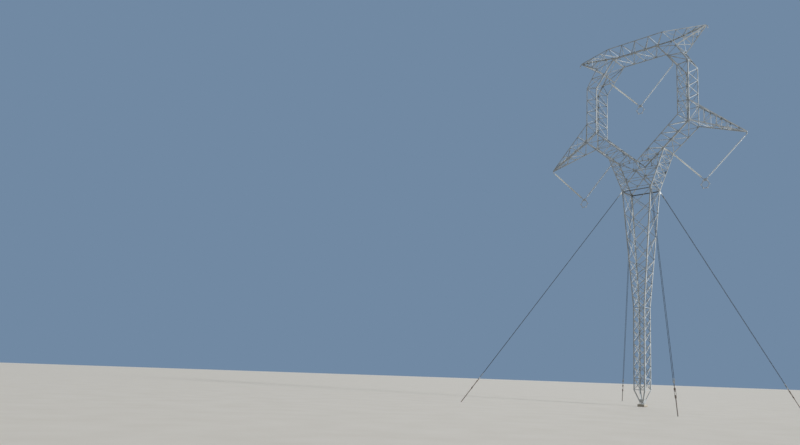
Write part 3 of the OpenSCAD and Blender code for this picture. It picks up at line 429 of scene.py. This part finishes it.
def joints_of_face(shape, a, b, inside, cuts, leg, width, pattern, struts, depth=PLATE_DEPTH):
    normal = inward(a, b, inside)
    # share of the legs that braces and struts leave free at the section's ends
    brace_trim, strut_trim = [part * width / (a[1] - a[0]).length for part in (1.3, 0.55)]
    # bars that meet at each joint, by leg and cut
    ends = {}
    for i in range(len(cuts) - 1):
        low, high = max(cuts[i], brace_trim), min(cuts[i + 1], 1 - brace_trim)
        corners = {
            (0, i): (a, b, low), (0, i + 1): (a, b, high), (1, i): (b, a, low), (1, i + 1): (b, a, high)}
        at = {k: on_leg(*v, leg * GAUGE) for k, v in corners.items()}
        if pattern == "x":
            # one brace lies inside the legs' flanges and one outside, bolted where they cross
            for p, q, head, nut in (
                    (at[0, i], at[1, i + 1], 0, BRACE_IN), (at[1, i], at[0, i + 1], BRACE_OUT, FLANGE)):
                brace_bolts(shape, p, (q - p).normalized(), normal, (13 * MM,), head, nut)
                brace_bolts(shape, q, (p - q).normalized(), normal, (13 * MM,), head, nut)
            wide, narrow = (at[1, i] - at[0, i]).length, (at[1, i + 1] - at[0, i + 1]).length
            middle = at[0, i].lerp(at[1, i + 1], wide / (wide + narrow))
            bolt(shape, middle, normal, BRACE_OUT, BRACE_IN)
            continue
        # a zig begins with a rising bar, and a zag with a falling one
        rising = pattern in ("up", ("zag", "zig")[(i + 1) % 2])
        falling = pattern in ("down", ("zig", "zag")[(i + 1) % 2])
        for wanted, p, q in ((rising, (0, i), (1, i + 1)), (falling, (1, i), (0, i + 1))):
            if wanted:
                ends.setdefault(p, []).append((at[p], at[q]))
                ends.setdefault(q, []).append((at[q], at[p]))
    for i in struts:
        if i < len(cuts):
            share = min(max(cuts[i], strut_trim), 1 - strut_trim)
            p, q = on_leg(a, b, share, leg * GAUGE), on_leg(b, a, share, leg * GAUGE)
            ends.setdefault((0, i), []).append((p, q))
            ends.setdefault((1, i), []).append((q, p))
    for (side, i), bars in ends.items():
        near, far = ((a, b), (b, a))[side]
        across = far[0].lerp(far[1], cuts[i]) - near[0].lerp(near[1], cuts[i])
        if pattern == "x":
            for p, q in bars:
                brace_bolts(shape, p, (q - p).normalized(), normal, (leg * 0.6,), None, BRACE_IN)
            continue
        if across.length < NARROW:
            continue
        way = (near[1] - near[0]).normalized()
        heel = on_leg(near, far, cuts[i], 0.4 * leg)
        room = (near[1] - near[0]).length
        before = min(PLATE_HALF, cuts[i] * room)
        after = min(PLATE_HALF, (1 - cuts[i]) * room)
        joint_plate(shape, normal, [heel - way * before, heel + way * after], bars, width, depth)
        for shift in (-0.6 * before, 0.6 * after):
            if abs(shift) > MM:
                brace_bolts(shape, heel + way * shift, way, normal, (0,), 0, FLANGE)


# half of the length of a cover plate, and the distance from one of its bolts to the next
SPLICE_HALF, SPLICE_STEP = 0.12, 0.04


def splices(shape, start, end, inside, share, leg):
    # cover plates on both flanges of each leg, where two lengths of the leg meet
    for i in range(4):
        for j in ((i + 1) % 4, (i + 3) % 4):
            a, b = (start[i], end[i]), (start[j], end[j])
            normal = -inward(a, b, inside)
            heel = a[0].lerp(a[1], share)
            # nothing stands on top of the beam, which is the pylon's highest edge
            if normal.z > 0.9 and heel.z > BEAM_TOP[1] - 0.05:
                continue
            way = (a[1] - a[0]).normalized()
            across = normal.cross(way)
            if across.dot(b[0].lerp(b[1], share) - heel) < 0:
                across = -across
            corners = [
                heel + way * along + across * set_in
                for along in (-SPLICE_HALF, SPLICE_HALF) for set_in in (4 * MM, leg - 4 * MM)]
            gusset(shape, normal, corners, -0.2 * MM)
            for k in range(6):
                along = (k - 2.5) * SPLICE_STEP
                bolt(shape, heel + way * along + across * 0.58 * leg, normal, None, 5 * MM)


def joined(name, shape, material):
    bmesh.ops.recalc_face_normals(shape, faces=shape.faces)
    mesh = bpy.data.meshes.new(name)
    shape.to_mesh(mesh)
    shape.free()
    for each in material if isinstance(material, list) else [material]:
        mesh.materials.append(each)
    made = bpy.data.objects.new(name, mesh)
    bpy.context.collection.objects.link(made)
    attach(made, "root")
    return made


def mirrored(shape, vector):
    copy = bmesh.new()
    mesh = bpy.data.meshes.new("half")
    shape.to_mesh(mesh)
    copy.from_mesh(mesh)
    bpy.data.meshes.remove(mesh)
    bmesh.ops.scale(copy, vec=vector, verts=copy.verts)
    return copy


joint_zinc = zinc_finish("joint_plate_zinc", "#C9CDCD", "#A5ABAD", "#8A7B6A", 0.25, 0.48)
for name, start, end, cuts, leg, width, patterns, struts in STEELWORK:
    shape = bmesh.new()
    inside = sum(start + end, Vector()) / 8
    for i in range(4):
        j = (i + 1) % 4
        a, b = (start[i], end[i]), (start[j], end[j])
        # the plates of the root panel lie just outside those of the panel above it
        depth = PLATE_DEPTH / 2 if name == "column_root" else PLATE_DEPTH
        joints_of_face(shape, a, b, inside, cuts, leg, width, patterns[i], struts.get(i, []), depth)
    middle = len(cuts) // 2
    splices(shape, start, end, inside, (cuts[middle - 1] + cuts[middle]) / 2, leg)
    if name in ("arm_upper", "column_root", "column", "shoulder", "peak", "crossarm"):
        joined("left_" + name + "_joints", mirrored(shape, (-1, 1, 1)), joint_zinc)
        joined("right_" + name + "_joints", shape, joint_zinc)
    else:
        joined(name + "_joints", shape, joint_zinc)


# Short posts of the crossarms: a light angle from the upper chord down to the middle of each
# diagonal, which halves the chord's free length. They are bolted at both ends.
def light_angle(shape, p, q, normal, width):
    turn = turned_to(p, q - p, normal.cross(q - p))
    length = (q - p).length
    half, thick = width / 2, 4 * MM
    outline = [
        (-half, 0), (half, 0), (half, thick), (thick - half, thick), (thick - half, width), (-half, width)]
    face = shape.faces.new([shape.verts.new(turn @ Vector((x, y, 0))) for x, y in outline])
    made = bmesh.ops.extrude_face_region(shape, geom=[face])
    raised = [v for v in made["geom"] if isinstance(v, bmesh.types.BMVert)]
    bmesh.ops.translate(shape, verts=raised, vec=(q - p).normalized() * length)


POST, POST_BOLT = 26 * MM, 7 * MM
# gap that keeps a post's lower end off the diagonal that it is bolted to
POST_GAP = 0.2 * MM
shape = bmesh.new()
inside = sum(crossarm_start + crossarm_end, Vector()) / 8
cuts = shrinking(5, 0.87)
for high, low in ((0, 1), (3, 2)):
    top, bottom = (crossarm_start[high], crossarm_end[high]), (crossarm_start[low], crossarm_end[low])
    normal = inward(top, bottom, inside)
    for i in range(3):
        diagonal = bottom[0].lerp(bottom[1], cuts[i]).lerp(top[0].lerp(top[1], cuts[i + 1]), 0.5)
        above = top[0].lerp(top[1], (cuts[i] + cuts[i + 1]) / 2)
        down = (diagonal - above).normalized()
        upper_end = above + down * 0.02 + normal * FLANGE
        lower_end = diagonal + down * 0.012 + normal * (FLANGE + POST_GAP)
        light_angle(shape, upper_end, lower_end, normal, POST)
        for point in (above + down * 0.035, diagonal):
            bolt(shape, point, normal, 0, 12.5 * MM, POST_BOLT)
joined("left_crossarm_posts", mirrored(shape, (-1, 1, 1)), joint_zinc)
joined("right_crossarm_posts", shape, joint_zinc)


# Joint plates of the notch: the lower arms have crossed bars outside and single ones inside, webs
# on the front and the back, and between them an upturned V that stands on the waist.
def outer_node(z, face):
    return spot(WAIST_X + (KNEE[0] - WAIST_X) * (z - WAIST_Z) / (KNEE[1] - WAIST_Z), z, face)


# heights of the upturned V's peak, of its tie and of the arms' lowest bar, and the place of its hips
THROAT_Z = 14.9
TIE_SHARE = 0.48
TIE_Z = WAIST_Z + TIE_SHARE * (THROAT_Z - WAIST_Z)
DECK_Z = CROTCH_Z - CHORD
HIP_X, HIP_Z = 0.44 * KNEE[0], DECK_Z - HEAD_BRACE
# its plates lie a little deeper than the arms' own
FRAME_DEPTH = 2.4 * MM
# how far a web's plate runs along its chord
SHORT_RUN, LONG_RUN = 0.07, 0.1
shape = bmesh.new()
inside = (arm_knee[0] + arm_knee[1] + arm_start[2] + arm_start[3]) / 4
arm_chords = list(zip(arm_start, arm_knee))
joints_of_face(
    shape, arm_chords[3], arm_chords[0], inside, even(5), CHORD, HEAD_BRACE, "x", [1, 2, 3, 4])
joints_of_face(
    shape, arm_chords[1], arm_chords[2], inside, even(3), CHORD, HEAD_BRACE, "up", [1, 2, 3])
frame_shape = bmesh.new()
for face, outer, inner in ((-1, 0, 1), (1, 3, 2)):
    chord = arm_chords[inner]
    normal = inward(arm_chords[outer], chord, inside)
    way = (chord[1] - chord[0]).normalized()
    upper = [chord[0].lerp(chord[1], i / 3) - Vector((0, 0, 0.8 * CHORD)) for i in range(4)]
    deck = [spot(point.x, DECK_Z, face) for point in upper]
    deck_end = outer_node(DECK_Z, face)
    rise_way = (outer_node(DECK_Z + 1, face) - outer_node(DECK_Z - 1, face)).normalized()
    knee_side = arm_knee[outer] - Vector((CHORD, 0, CHORD))
    level = Vector((LONG_RUN, 0, 0))
    # each plate's edge on its chord, and the bars that it holds
    web_plates = [
        ([upper[1] - way * SHORT_RUN, upper[1] + way * SHORT_RUN], [(upper[1], deck[1])]),
        ([upper[2] - way * LONG_RUN, upper[2] + way * LONG_RUN],
         [(upper[2], deck[2]), (upper[2], deck[1]), (upper[2], knee_side)]),
        ([deck[1], deck[1] + level], [(deck[1], upper[1]), (deck[1], upper[2])]),
        ([deck[2], deck[2] + level], [(deck[2], upper[2]), (deck[2], knee_side)]),
        ([deck_end - rise_way * LONG_RUN, deck_end + rise_way * LONG_RUN],
         [(deck_end - Vector((GAUGE * CHORD, 0, 0)), deck[0])]),
    ]
    for edge, bars in web_plates:
        joint_plate(shape, normal, edge, bars, HEAD_BRACE)
    # the upturned V, its ties and its post
    peak = spot(0, THROAT_Z, face)
    foot = arm_start[outer]
    half = foot.lerp(peak, TIE_SHARE)
    eave = outer_node(THROAT_Z, face)
    hip, apex = spot(HIP_X, HIP_Z, face), spot(0, HIP_Z, face)
    low = outer_node(TIE_Z, face)
    set_in = Vector((CHORD, 0, 0))
    bars_at = [
        (peak, [(peak, half), (peak, eave), (peak, hip), (peak, apex)]),
        (half, [(half, foot), (half, peak), (half, eave), (half, low)]),
        (hip, [(hip, peak), (hip, eave)]),
        (eave - set_in, [(eave - set_in, peak), (eave - set_in, half), (eave - set_in, hip)]),
        (low - set_in, [(low - set_in, half)]),
    ]
    for point, bars in bars_at:
        joint_plate(frame_shape, normal, [point], bars, HEAD_BRACE, FRAME_DEPTH)
    # plates that tie the arm's chord, the waist's belt and the flare's leg together
    up = (arm_knee[outer] - foot).normalized()
    belt = foot + Vector((-0.2, 0, -0.03))
    under = foot - Vector((0, 0, 0.06))
    gusset(shape, normal, [foot, foot + up * 0.2, foot + up * 0.2 - set_in, belt, under])
joined("left_arm_lower_joints", mirrored(shape, (-1, 1, 1)), joint_zinc)
joined("right_arm_lower_joints", shape, joint_zinc)
joined("left_crotch_frame_joints", mirrored(frame_shape, (-1, 1, 1)), joint_zinc)
joined("right_crotch_frame_joints", frame_shape, joint_zinc)


# Pier under the mast: cast concrete with a bevelled top, left as it came out of the boards and
# darkened by soil near the ground.
def concrete_finish(name, pale, dark):
    made = bpy.data.materials.new(name)
    made.use_nodes = True
    tree = made.node_tree
    shader = tree.nodes["Principled BSDF"]
    place = add(tree, "ShaderNodeTexCoord", {}, {}).outputs["Object"]
    # clouds of a drier and a wetter mix, about 70 mm across
    cloud = add(tree, "ShaderNodeTexNoise", {}, {
        "Vector": place, "Scale": 14.0, "Detail": 8.0, "Roughness": 0.65})
    tone = add(tree, "ShaderNodeMix", {"data_type": "RGBA"}, {
        0: cloud.outputs["Fac"], 6: from_hex(pale), 7: from_hex(dark)})
    # soil splashed up the lowest 60 mm
    height = add(tree, "ShaderNodeSeparateXYZ", {}, {0: place})
    splash = add(tree, "ShaderNodeMapRange", {"clamp": True}, {
        "Value": height.outputs["Z"], "From Min": 0.0, "From Max": 0.06, "To Min": 0.7, "To Max": 0.0})
    soiled = add(tree, "ShaderNodeMix", {"data_type": "RGBA"}, {
        0: splash.outputs[0], 6: tone.outputs[2], 7: from_hex("#7A6A55")})
    tree.links.new(soiled.outputs[2], shader.inputs["Base Color"])
    # sand grains and blow holes, 2 to 6 mm
    holes = add(tree, "ShaderNodeTexVoronoi", {}, {"Vector": place, "Scale": 170.0})
    bump = add(tree, "ShaderNodeBump", {}, {
        "Strength": 0.5, "Distance": 1.2 * MM, "Height": holes.outputs["Distance"]})
    tree.links.new(bump.outputs[0], shader.inputs["Normal"])
    shader.inputs["Roughness"].default_value = 0.92
    return made


refinish("footing", concrete_finish("board_cast_concrete", "#C9C4B8", "#A29C90"))


# Bolts of the mast's shoe: four anchor bolts cast into the pier, with their washers, nuts, lock nuts
# and projecting threads, and the bolts that hold the legs' foot down on the shoe's cap plate.
PIER_H, SHOE_H, SHOE_PLATE = 0.15, 0.11, 0.0198
ANCHOR_BOLT_OFFSET = 0.145
# an anchor bolt's washer, nut, lock nut and thread, as radius, lower and upper end, and sides
ANCHOR_BOLT = ((18, 0, 3, 16), (14, 3, 14, 6), (14, 14, 21, 6), (7.5, 21, 36, 12))
# the cap plate's nuts hang under its left and right edge
CAP_BOLT_X, CAP_BOLTS_Y = 0.138, (0.045, 0.1)
shape = bmesh.new()
for x in (-ANCHOR_BOLT_OFFSET, ANCHOR_BOLT_OFFSET):
    for y in (-ANCHOR_BOLT_OFFSET, ANCHOR_BOLT_OFFSET):
        for radius, low, high, sides in ANCHOR_BOLT:
            middle = Vector((x, y, PIER_H + SHOE_PLATE + (low + high) / 2 * MM))
            bmesh.ops.create_cone(
                shape, cap_ends=True, segments=sides, radius1=radius * MM, radius2=radius * MM,
                depth=(high - low) * MM, matrix=Matrix.Translation(middle))
for x in (-CAP_BOLT_X, CAP_BOLT_X):
    for side in (-1, 1):
        for y in CAP_BOLTS_Y:
            point = Vector((x, side * y, PIER_H + SHOE_H - SHOE_PLATE))
            hexagon(shape, point, Vector((0, 0, -1)), 9 * MM, 8 * MM)
joined("shoe_bolts", shape, joint_zinc)


# Insulator strings: cap-and-pin discs of pale glazed porcelain, each a flared shed under a
# galvanised cap, its pin held in the next cap, with a clevis at both ends.
glaze = bpy.data.materials.new("pale_glazed_porcelain")
glaze.use_nodes = True
tree = glaze.node_tree
shader = tree.nodes["Principled BSDF"]
place = add(tree, "ShaderNodeTexCoord", {}, {}).outputs["Object"]
# a film of dust, in patches about 40 mm across, dulls the glaze
dust = add(tree, "ShaderNodeTexNoise", {}, {"Vector": place, "Scale": 24.0, "Detail": 5.0})
tone = add(tree, "ShaderNodeMix", {"data_type": "RGBA"}, {
    0: dust.outputs["Fac"], 6: from_hex("#F4F6F2"), 7: from_hex("#E4E8E4")})
tree.links.new(tone.outputs[2], shader.inputs["Base Color"])
film = add(tree, "ShaderNodeMapRange", {}, {"Value": dust.outputs["Fac"], "To Min": 0.18, "To Max": 0.42})
tree.links.new(film.outputs[0], shader.inputs["Roughness"])
shader.inputs["Coat Weight"].default_value = 0.3
shader.inputs["Coat Roughness"].default_value = 0.15
# painted light: the caps, clevises and sockets are painted paler than their zinc, to lift the shade that
# each shed casts on the cap below it
pale_lit_fitting_zinc = zinc_finish("forged_fitting_zinc_painted_light", "#DFE2E1", "#C6CBCB", "#968E81", 0.15, 0.5)

PITCH = 73 * MM
# least length of the fittings at each end
FITTING = 0.19
# one disc in millimetres, as radius and distance below the cap's top: its cap, its shed with a lip
# that hangs down round a hollow, and the pin under it
CAP = ((0, 0), (18, 0), (27, 5), (30, 31))
SHED = ((20, 25), (40, 29), (54, 40), (53, 50), (44, 43), (5, 49))
PIN = ((7, 44), (7, 74))


def turned(shape, profile, sides, index):
    before = set(shape.faces)
    verts = [shape.verts.new((r * MM, 0, z * MM)) for r, z in profile]
    edges = [shape.edges.new(pair) for pair in zip(verts, verts[1:])]
    bmesh.ops.spin(
        shape, geom=verts + edges, cent=(0, 0, 0), axis=(0, 0, 1), angle=math.tau, steps=sides,
        use_merge=True)
    bmesh.ops.remove_doubles(shape, verts=shape.verts, dist=0.01 * MM)
    for face in shape.faces:
        if face not in before:
            face.material_index = index


def as_mesh(name, shape):
    bmesh.ops.recalc_face_normals(shape, faces=shape.faces)
    mesh = bpy.data.meshes.new(name)
    shape.to_mesh(mesh)
    shape.free()
    return mesh


def placed(shape, mesh, matrix):
    copy = mesh.copy()
    copy.transform(matrix)
    shape.from_mesh(copy)
    bpy.data.meshes.remove(copy)


def block(shape, matrix, size, centre, edge=1.5):
    stretch = Matrix.Diagonal((*[s * MM for s in size], 1))
    made = bmesh.ops.create_cube(
        shape, size=1, matrix=matrix @ Matrix.Translation(Vector(centre) * MM) @ stretch)
    edges = list(dict.fromkeys(e for v in made["verts"] for e in v.link_edges))
    bmesh.ops.bevel(
        shape, geom=edges, offset=edge * MM, segments=1, profile=0.5, affect="EDGES", material=-1)


def round_bar(shape, matrix, radius, low, high, sides=12, taper=1.0):
    bmesh.ops.create_cone(
        shape, cap_ends=True, segments=sides, radius1=radius * MM, radius2=radius * taper * MM,
        depth=(high - low) * MM, matrix=matrix @ Matrix.Translation((0, 0, (low + high) / 2 * MM)))


# thickness of a clevis's ears, and the distance of their middle and outer face from the pin's middle
EAR_T, EAR_MIDDLE, EAR_FACE = 9, 14.8, 19.3


def clevis(shape, matrix, width, reach):
    # two ears round a plate on the pin, a block that joins them, and the pin with its head and nut
    for side in (-1, 1):
        ear = (side * EAR_MIDDLE, 0, reach / 2 - width / 4)
        block(shape, matrix, (EAR_T, width, reach + width / 2), ear)
        face = matrix @ Vector((side * EAR_FACE * MM, 0, 0))
        hexagon(shape, face, matrix.to_3x3() @ Vector((side, 0, 0)), 15 * MM, 10 * MM)
    block(shape, matrix, (30, width - 2, 0.3 * reach), (0, 0, 0.85 * reach - 1))
    across = matrix @ Matrix.Rotation(math.pi / 2, 4, "Y")
    round_bar(shape, across, 9.8, -34, 34)


shape = bmesh.new()
turned(shape, SHED, 16, 0)
turned(shape, CAP, 8, 1)
turned(shape, PIN, 6, 1)
disc = as_mesh("disc", shape)


def string_between(name, p, q, node):
    length = (q - p).length
    count = int((length - 2 * FITTING) / PITCH)
    first = (length - count * PITCH) / 2
    down = turned_to(p, q - p, Vector((0, 1, 0)))
    up = turned_to(q, p - q, Vector((0, -1, 0)))
    shape = bmesh.new()
    for i in range(count):
        placed(shape, disc, down @ Matrix.Translation((0, 0, first + i * PITCH)))
    steel = bmesh.new()
    for end in (down, up):
        clevis(steel, end, 46, 95)
        # shank, socket round the end of the row of discs, and collar
        neck = first / MM
        round_bar(steel, end, 15, 80, neck - 30)
        round_bar(steel, end, 21, neck - 42, neck + (2 if end is down else -1), sides=16)
        round_bar(steel, end, 19, 92, 112, sides=16)
    for face in steel.faces:
        face.material_index = 1
    placed(shape, as_mesh("ends", steel), Matrix.Identity(4))
    made = joined(name, shape, [glaze, pale_lit_fitting_zinc])
    for face in made.data.polygons:
        face.use_smooth = face.material_index == 0
    made.data.set_sharp_from_angle(angle=math.radians(60))
    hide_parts(node)


# pins of the strings, as distance from the middle and height
MIDDLE_PIN = (2.355, 21.89)
OUTER_PIN = (ARM_TIP[0], ARM_TIP[1] - TIP_H - 0.02)
KNEE_PIN = (KNEE[0] + 0.09, KNEE[1] - 0.09)
MIDDLE_YOKE, OUTER_YOKE, YOKE_ARM = (0, 19.66), (4.355, 13.815), 0.095
STRINGS = (
    ("{}_string_outer", OUTER_PIN, OUTER_YOKE, YOKE_ARM),
    ("{}_string_inner", KNEE_PIN, OUTER_YOKE, -YOKE_ARM),
    ("middle_string_{}", MIDDLE_PIN, MIDDLE_YOKE, YOKE_ARM))
for side, word in ((-1, "left"), (1, "right")):
    for kind, top, low, shift in STRINGS:
        node = kind.format(word)
        upper, lower = Vector((side * top[0], 0, top[1])), Vector((side * (low[0] + shift), 0, low[1]))
        string_between(node + "_discs", upper, lower, node)


# Yokes and earth-wire clamps: cast aluminium alloy, still pale, with two galvanised keepers over the
# saddle of each of the yokes' clamps, held by two bolts each.
cast_alloy = zinc_finish("cast_aluminium_alloy", "#DCDEDD", "#BFC3C3", "#8D8478", 0.1, 0.4)
# the clamps lie on a circle of this radius, whose top is this far under the strings' lower pins
BUNDLE_R, RING_DROP = 0.27, 0.075
for name in nodes:
    if name.endswith(("_yoke", "_clamp")):
        refinish(name, cast_alloy)


# a keeper's length, width and thickness, how far it lies from the clamp's middle along the
# conductor's groove and outwards, and how far its bolts stand from the groove's middle
KEEPER, KEEPER_ALONG, KEEPER_OUT, KEEPER_BOLT = (20, 34, 6), 22, 22, 11


def keepers(shape, centre, outward):
    saddle = turned_to(centre, outward, Vector((0, 1, 0)))
    for along in (-KEEPER_ALONG, KEEPER_ALONG):
        block(shape, saddle, KEEPER, (along, 0, KEEPER_OUT), 1)
        for across in (-KEEPER_BOLT, KEEPER_BOLT):
            point = saddle @ (Vector((along, across, KEEPER_OUT + KEEPER[2] / 2)) * MM)
            hexagon(shape, point, saddle.to_3x3() @ Vector((0, 0, 1)), 6.5 * MM, 6 * MM)


YOKES = (("left", (-OUTER_YOKE[0], OUTER_YOKE[1])), ("middle", MIDDLE_YOKE), ("right", OUTER_YOKE))
for word, centre in YOKES:
    shape = bmesh.new()
    hub = Vector((centre[0], 0, centre[1] - RING_DROP - BUNDLE_R))
    for i in range(6):
        way = Vector((math.cos(i * math.tau / 6), 0, math.sin(i * math.tau / 6)))
        keepers(shape, hub + way * BUNDLE_R, way)
    # bolts that hold the ring to the yoke's plate
    for x in (-40, 40):
        for z in (-85, -110):
            for face in (-1, 1):
                point = Vector((centre[0], 0, centre[1])) + Vector((x, face * 8, z)) * MM
                hexagon(shape, point, Vector((0, face, 0)), 8 * MM, 6 * MM)
    joined(word + "_yoke_keepers", shape, joint_zinc)


# Guys: two ropes of steel strand side by side at each corner of the waist, blackened by the grease
# that keeps rust off, with a poured socket at both ends, a yoke plate and a clevis on the pin.
GUY_FOOT = Vector((6.64, -9.22, 0))
# how far below the waist's corner the guy's line meets it, and how far out the guy's pin lies
LUG_DROP, LUG_LENGTH = 0.06, 0.15
GUY_CORNER = Vector((WAIST_X, -WAIST_Y, WAIST_Z - LUG_DROP))
WAY_DOWN = (GUY_FOOT - GUY_CORNER).normalized()
# pin in the waist's plate, and pin at the upper end of the anchor rod and its turnbuckle
GUY_TOP = GUY_CORNER + WAY_DOWN * LUG_LENGTH
GUY_LINE = (GUY_TOP - GUY_FOOT).normalized()
ROD_LENGTH, ADJUSTER = 1000, 700
GUY_LOW = GUY_FOOT + GUY_LINE * (ROD_LENGTH + ADJUSTER) * MM
GUY_SIDE = Vector((0, 0, 1)).cross(WAY_DOWN).normalized()
# a rope's radius, the distance between the two, and the length of a strand's turn, in millimetres
ROPE_R, ROPE_GAP, ROPE_LAY = 11, 58, 220
# the ropes end inside the sockets, this far from the pins
ROPE_END = 400
# the front right guy is mirrored to the other corners
CORNERS = {"front_right": (1, 1), "front_left": (-1, 1), "back_right": (1, -1), "back_left": (-1, -1)}

greased_strand = zinc_finish("greased_steel_strand", "#3B3D3E", "#2A2C2D", "#2E2823", 0.3, 0.55)


def rope(low, high):
    # six strands laid round a core: a ring with six lobes, turned as it is drawn along
    shape = bmesh.new()
    ring = bmesh.ops.create_circle(shape, segments=12, radius=ROPE_R * MM, cap_ends=False)["verts"]
    bmesh.ops.scale(shape, vec=(0.76, 0.76, 1), verts=ring[::2])
    bmesh.ops.translate(shape, vec=(0, 0, low * MM), verts=ring)
    turns = (high - low) / ROPE_LAY
    steps = int(turns * 12)
    bmesh.ops.spin(
        shape, geom=shape.verts[:] + shape.edges[:], cent=(0, 0, 0), axis=(0, 0, 1),
        dvec=(0, 0, (high - low) * MM / steps), angle=turns * math.tau, steps=steps)
    return as_mesh("rope", shape)


def plate(shape, matrix, outline, thick, edge=1.2):
    corners = [matrix @ Vector((x * MM, -thick / 2 * MM, z * MM)) for x, z in outline]
    face = shape.faces.new([shape.verts.new(corner) for corner in corners])
    made = bmesh.ops.extrude_face_region(shape, geom=[face])
    raised = [v for v in made["geom"] if isinstance(v, bmesh.types.BMVert)]
    bmesh.ops.translate(shape, verts=raised, vec=matrix.to_3x3() @ Vector((0, thick * MM, 0)))
    edges = list(dict.fromkeys(e for v in raised + list(face.verts) for e in v.link_edges))
    bmesh.ops.bevel(
        shape, geom=edges, offset=edge * MM, segments=1, profile=0.5, affect="EDGES", material=-1)


# a poured socket: radius and distance from its closed end
SOCKET = (
    (0, 0), (16, 0), (19.8, 4), (19.8, 96), (17.5, 101), (17.5, 108), (13.5, 150), (13.2, 176), (9, 178))


def guy_end(shape, matrix):
    clevis(shape, matrix, 52, 120)
    # the yoke plate, which widens from the clevis to the two sockets
    half = ROPE_GAP / 2 + 24
    plate(shape, matrix, [(-25, 100), (25, 100), (half, 190), (half, 260), (-half, 260), (-half, 190)], 14)
    socket = bmesh.new()
    turned(socket, SOCKET, 16, 0)
    mesh = as_mesh("socket", socket)
    for side in (-1, 1):
        at = matrix @ Matrix.Translation((side * ROPE_GAP / 2 * MM, 0, 240 * MM))
        placed(shape, mesh, at)
        for face in (-1, 1):
            # the pin that holds the socket in the yoke plate
            point = at @ Vector((0, face * 19 * MM, 6 * MM))
            hexagon(shape, point, matrix.to_3x3() @ Vector((0, face, 0)), 11 * MM, 7 * MM)


guy = bmesh.new()
length = (GUY_TOP - GUY_LOW).length / MM
up = turned_to(GUY_LOW, GUY_LINE, GUY_SIDE)
down = turned_to(GUY_TOP, -GUY_LINE, GUY_SIDE)
guy_end(guy, up)
guy_end(guy, down)
for face in guy.faces:
    face.material_index = 1
strand = rope(ROPE_END, length - ROPE_END)
for side in (-1, 1):
    placed(guy, strand, up @ Matrix.Translation((side * ROPE_GAP / 2 * MM, 0, 0)))
bmesh.ops.recalc_face_normals(guy, faces=guy.faces)
# the guys' fittings take the same darker zinc, painted shade that tones down the lamp's glint on them
for word, (x, y) in CORNERS.items():
    made = joined(
        "guy_" + word + "_ropes", mirrored(guy, (x, y, 1)), [greased_strand, painted_shade_zinc])
    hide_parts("guy_" + word)
guy.free()


# Anchor rods: round steel, once galvanised and now brown with rust, each with a turnbuckle whose two
# rods are locked by nuts.
rusted_rod = zinc_finish("rusted_anchor_steel", "#7E746C", "#665A51", "#5E3F2C", 0.6, 0.7)
# feet of the turnbuckle's lower and upper block
LOW_BLOCK, TOP_BLOCK = ROD_LENGTH, ROD_LENGTH + 0.68 * ADJUSTER
# nuts on both sides of each block, as lower and upper end and radius
NUTS = (
    (LOW_BLOCK - 26, LOW_BLOCK - 1, 34), (LOW_BLOCK + 64, LOW_BLOCK + 88, 34),
    (TOP_BLOCK - 24, TOP_BLOCK - 1, 27), (TOP_BLOCK + 64, TOP_BLOCK + 86, 27))
# lengths of thread, as lower and upper end and radius of the rod, drawn coarser than they are
THREADS = (
    (LOW_BLOCK - 120, LOW_BLOCK - 30, 22), (LOW_BLOCK + 92, LOW_BLOCK + 150, 19),
    (TOP_BLOCK - 110, TOP_BLOCK - 28, 16.5))
THREAD_PITCH = 9
shape = bmesh.new()
rod = turned_to(GUY_FOOT, GUY_LINE, GUY_SIDE)
for low, high, radius in NUTS:
    round_bar(shape, rod, radius, low, high, sides=6)
for low, high, radius in THREADS:
    z = low
    while z < high:
        round_bar(shape, rod, radius + 1.6, z, z + THREAD_PITCH / 2, sides=12, taper=0.94)
        z += THREAD_PITCH
bmesh.ops.recalc_face_normals(shape, faces=shape.faces)
for word, (x, y) in CORNERS.items():
    refinish("anchor_" + word, rusted_rod)
    joined("anchor_" + word + "_nuts", mirrored(shape, (x, y, 1)), rusted_rod)
shape.free()
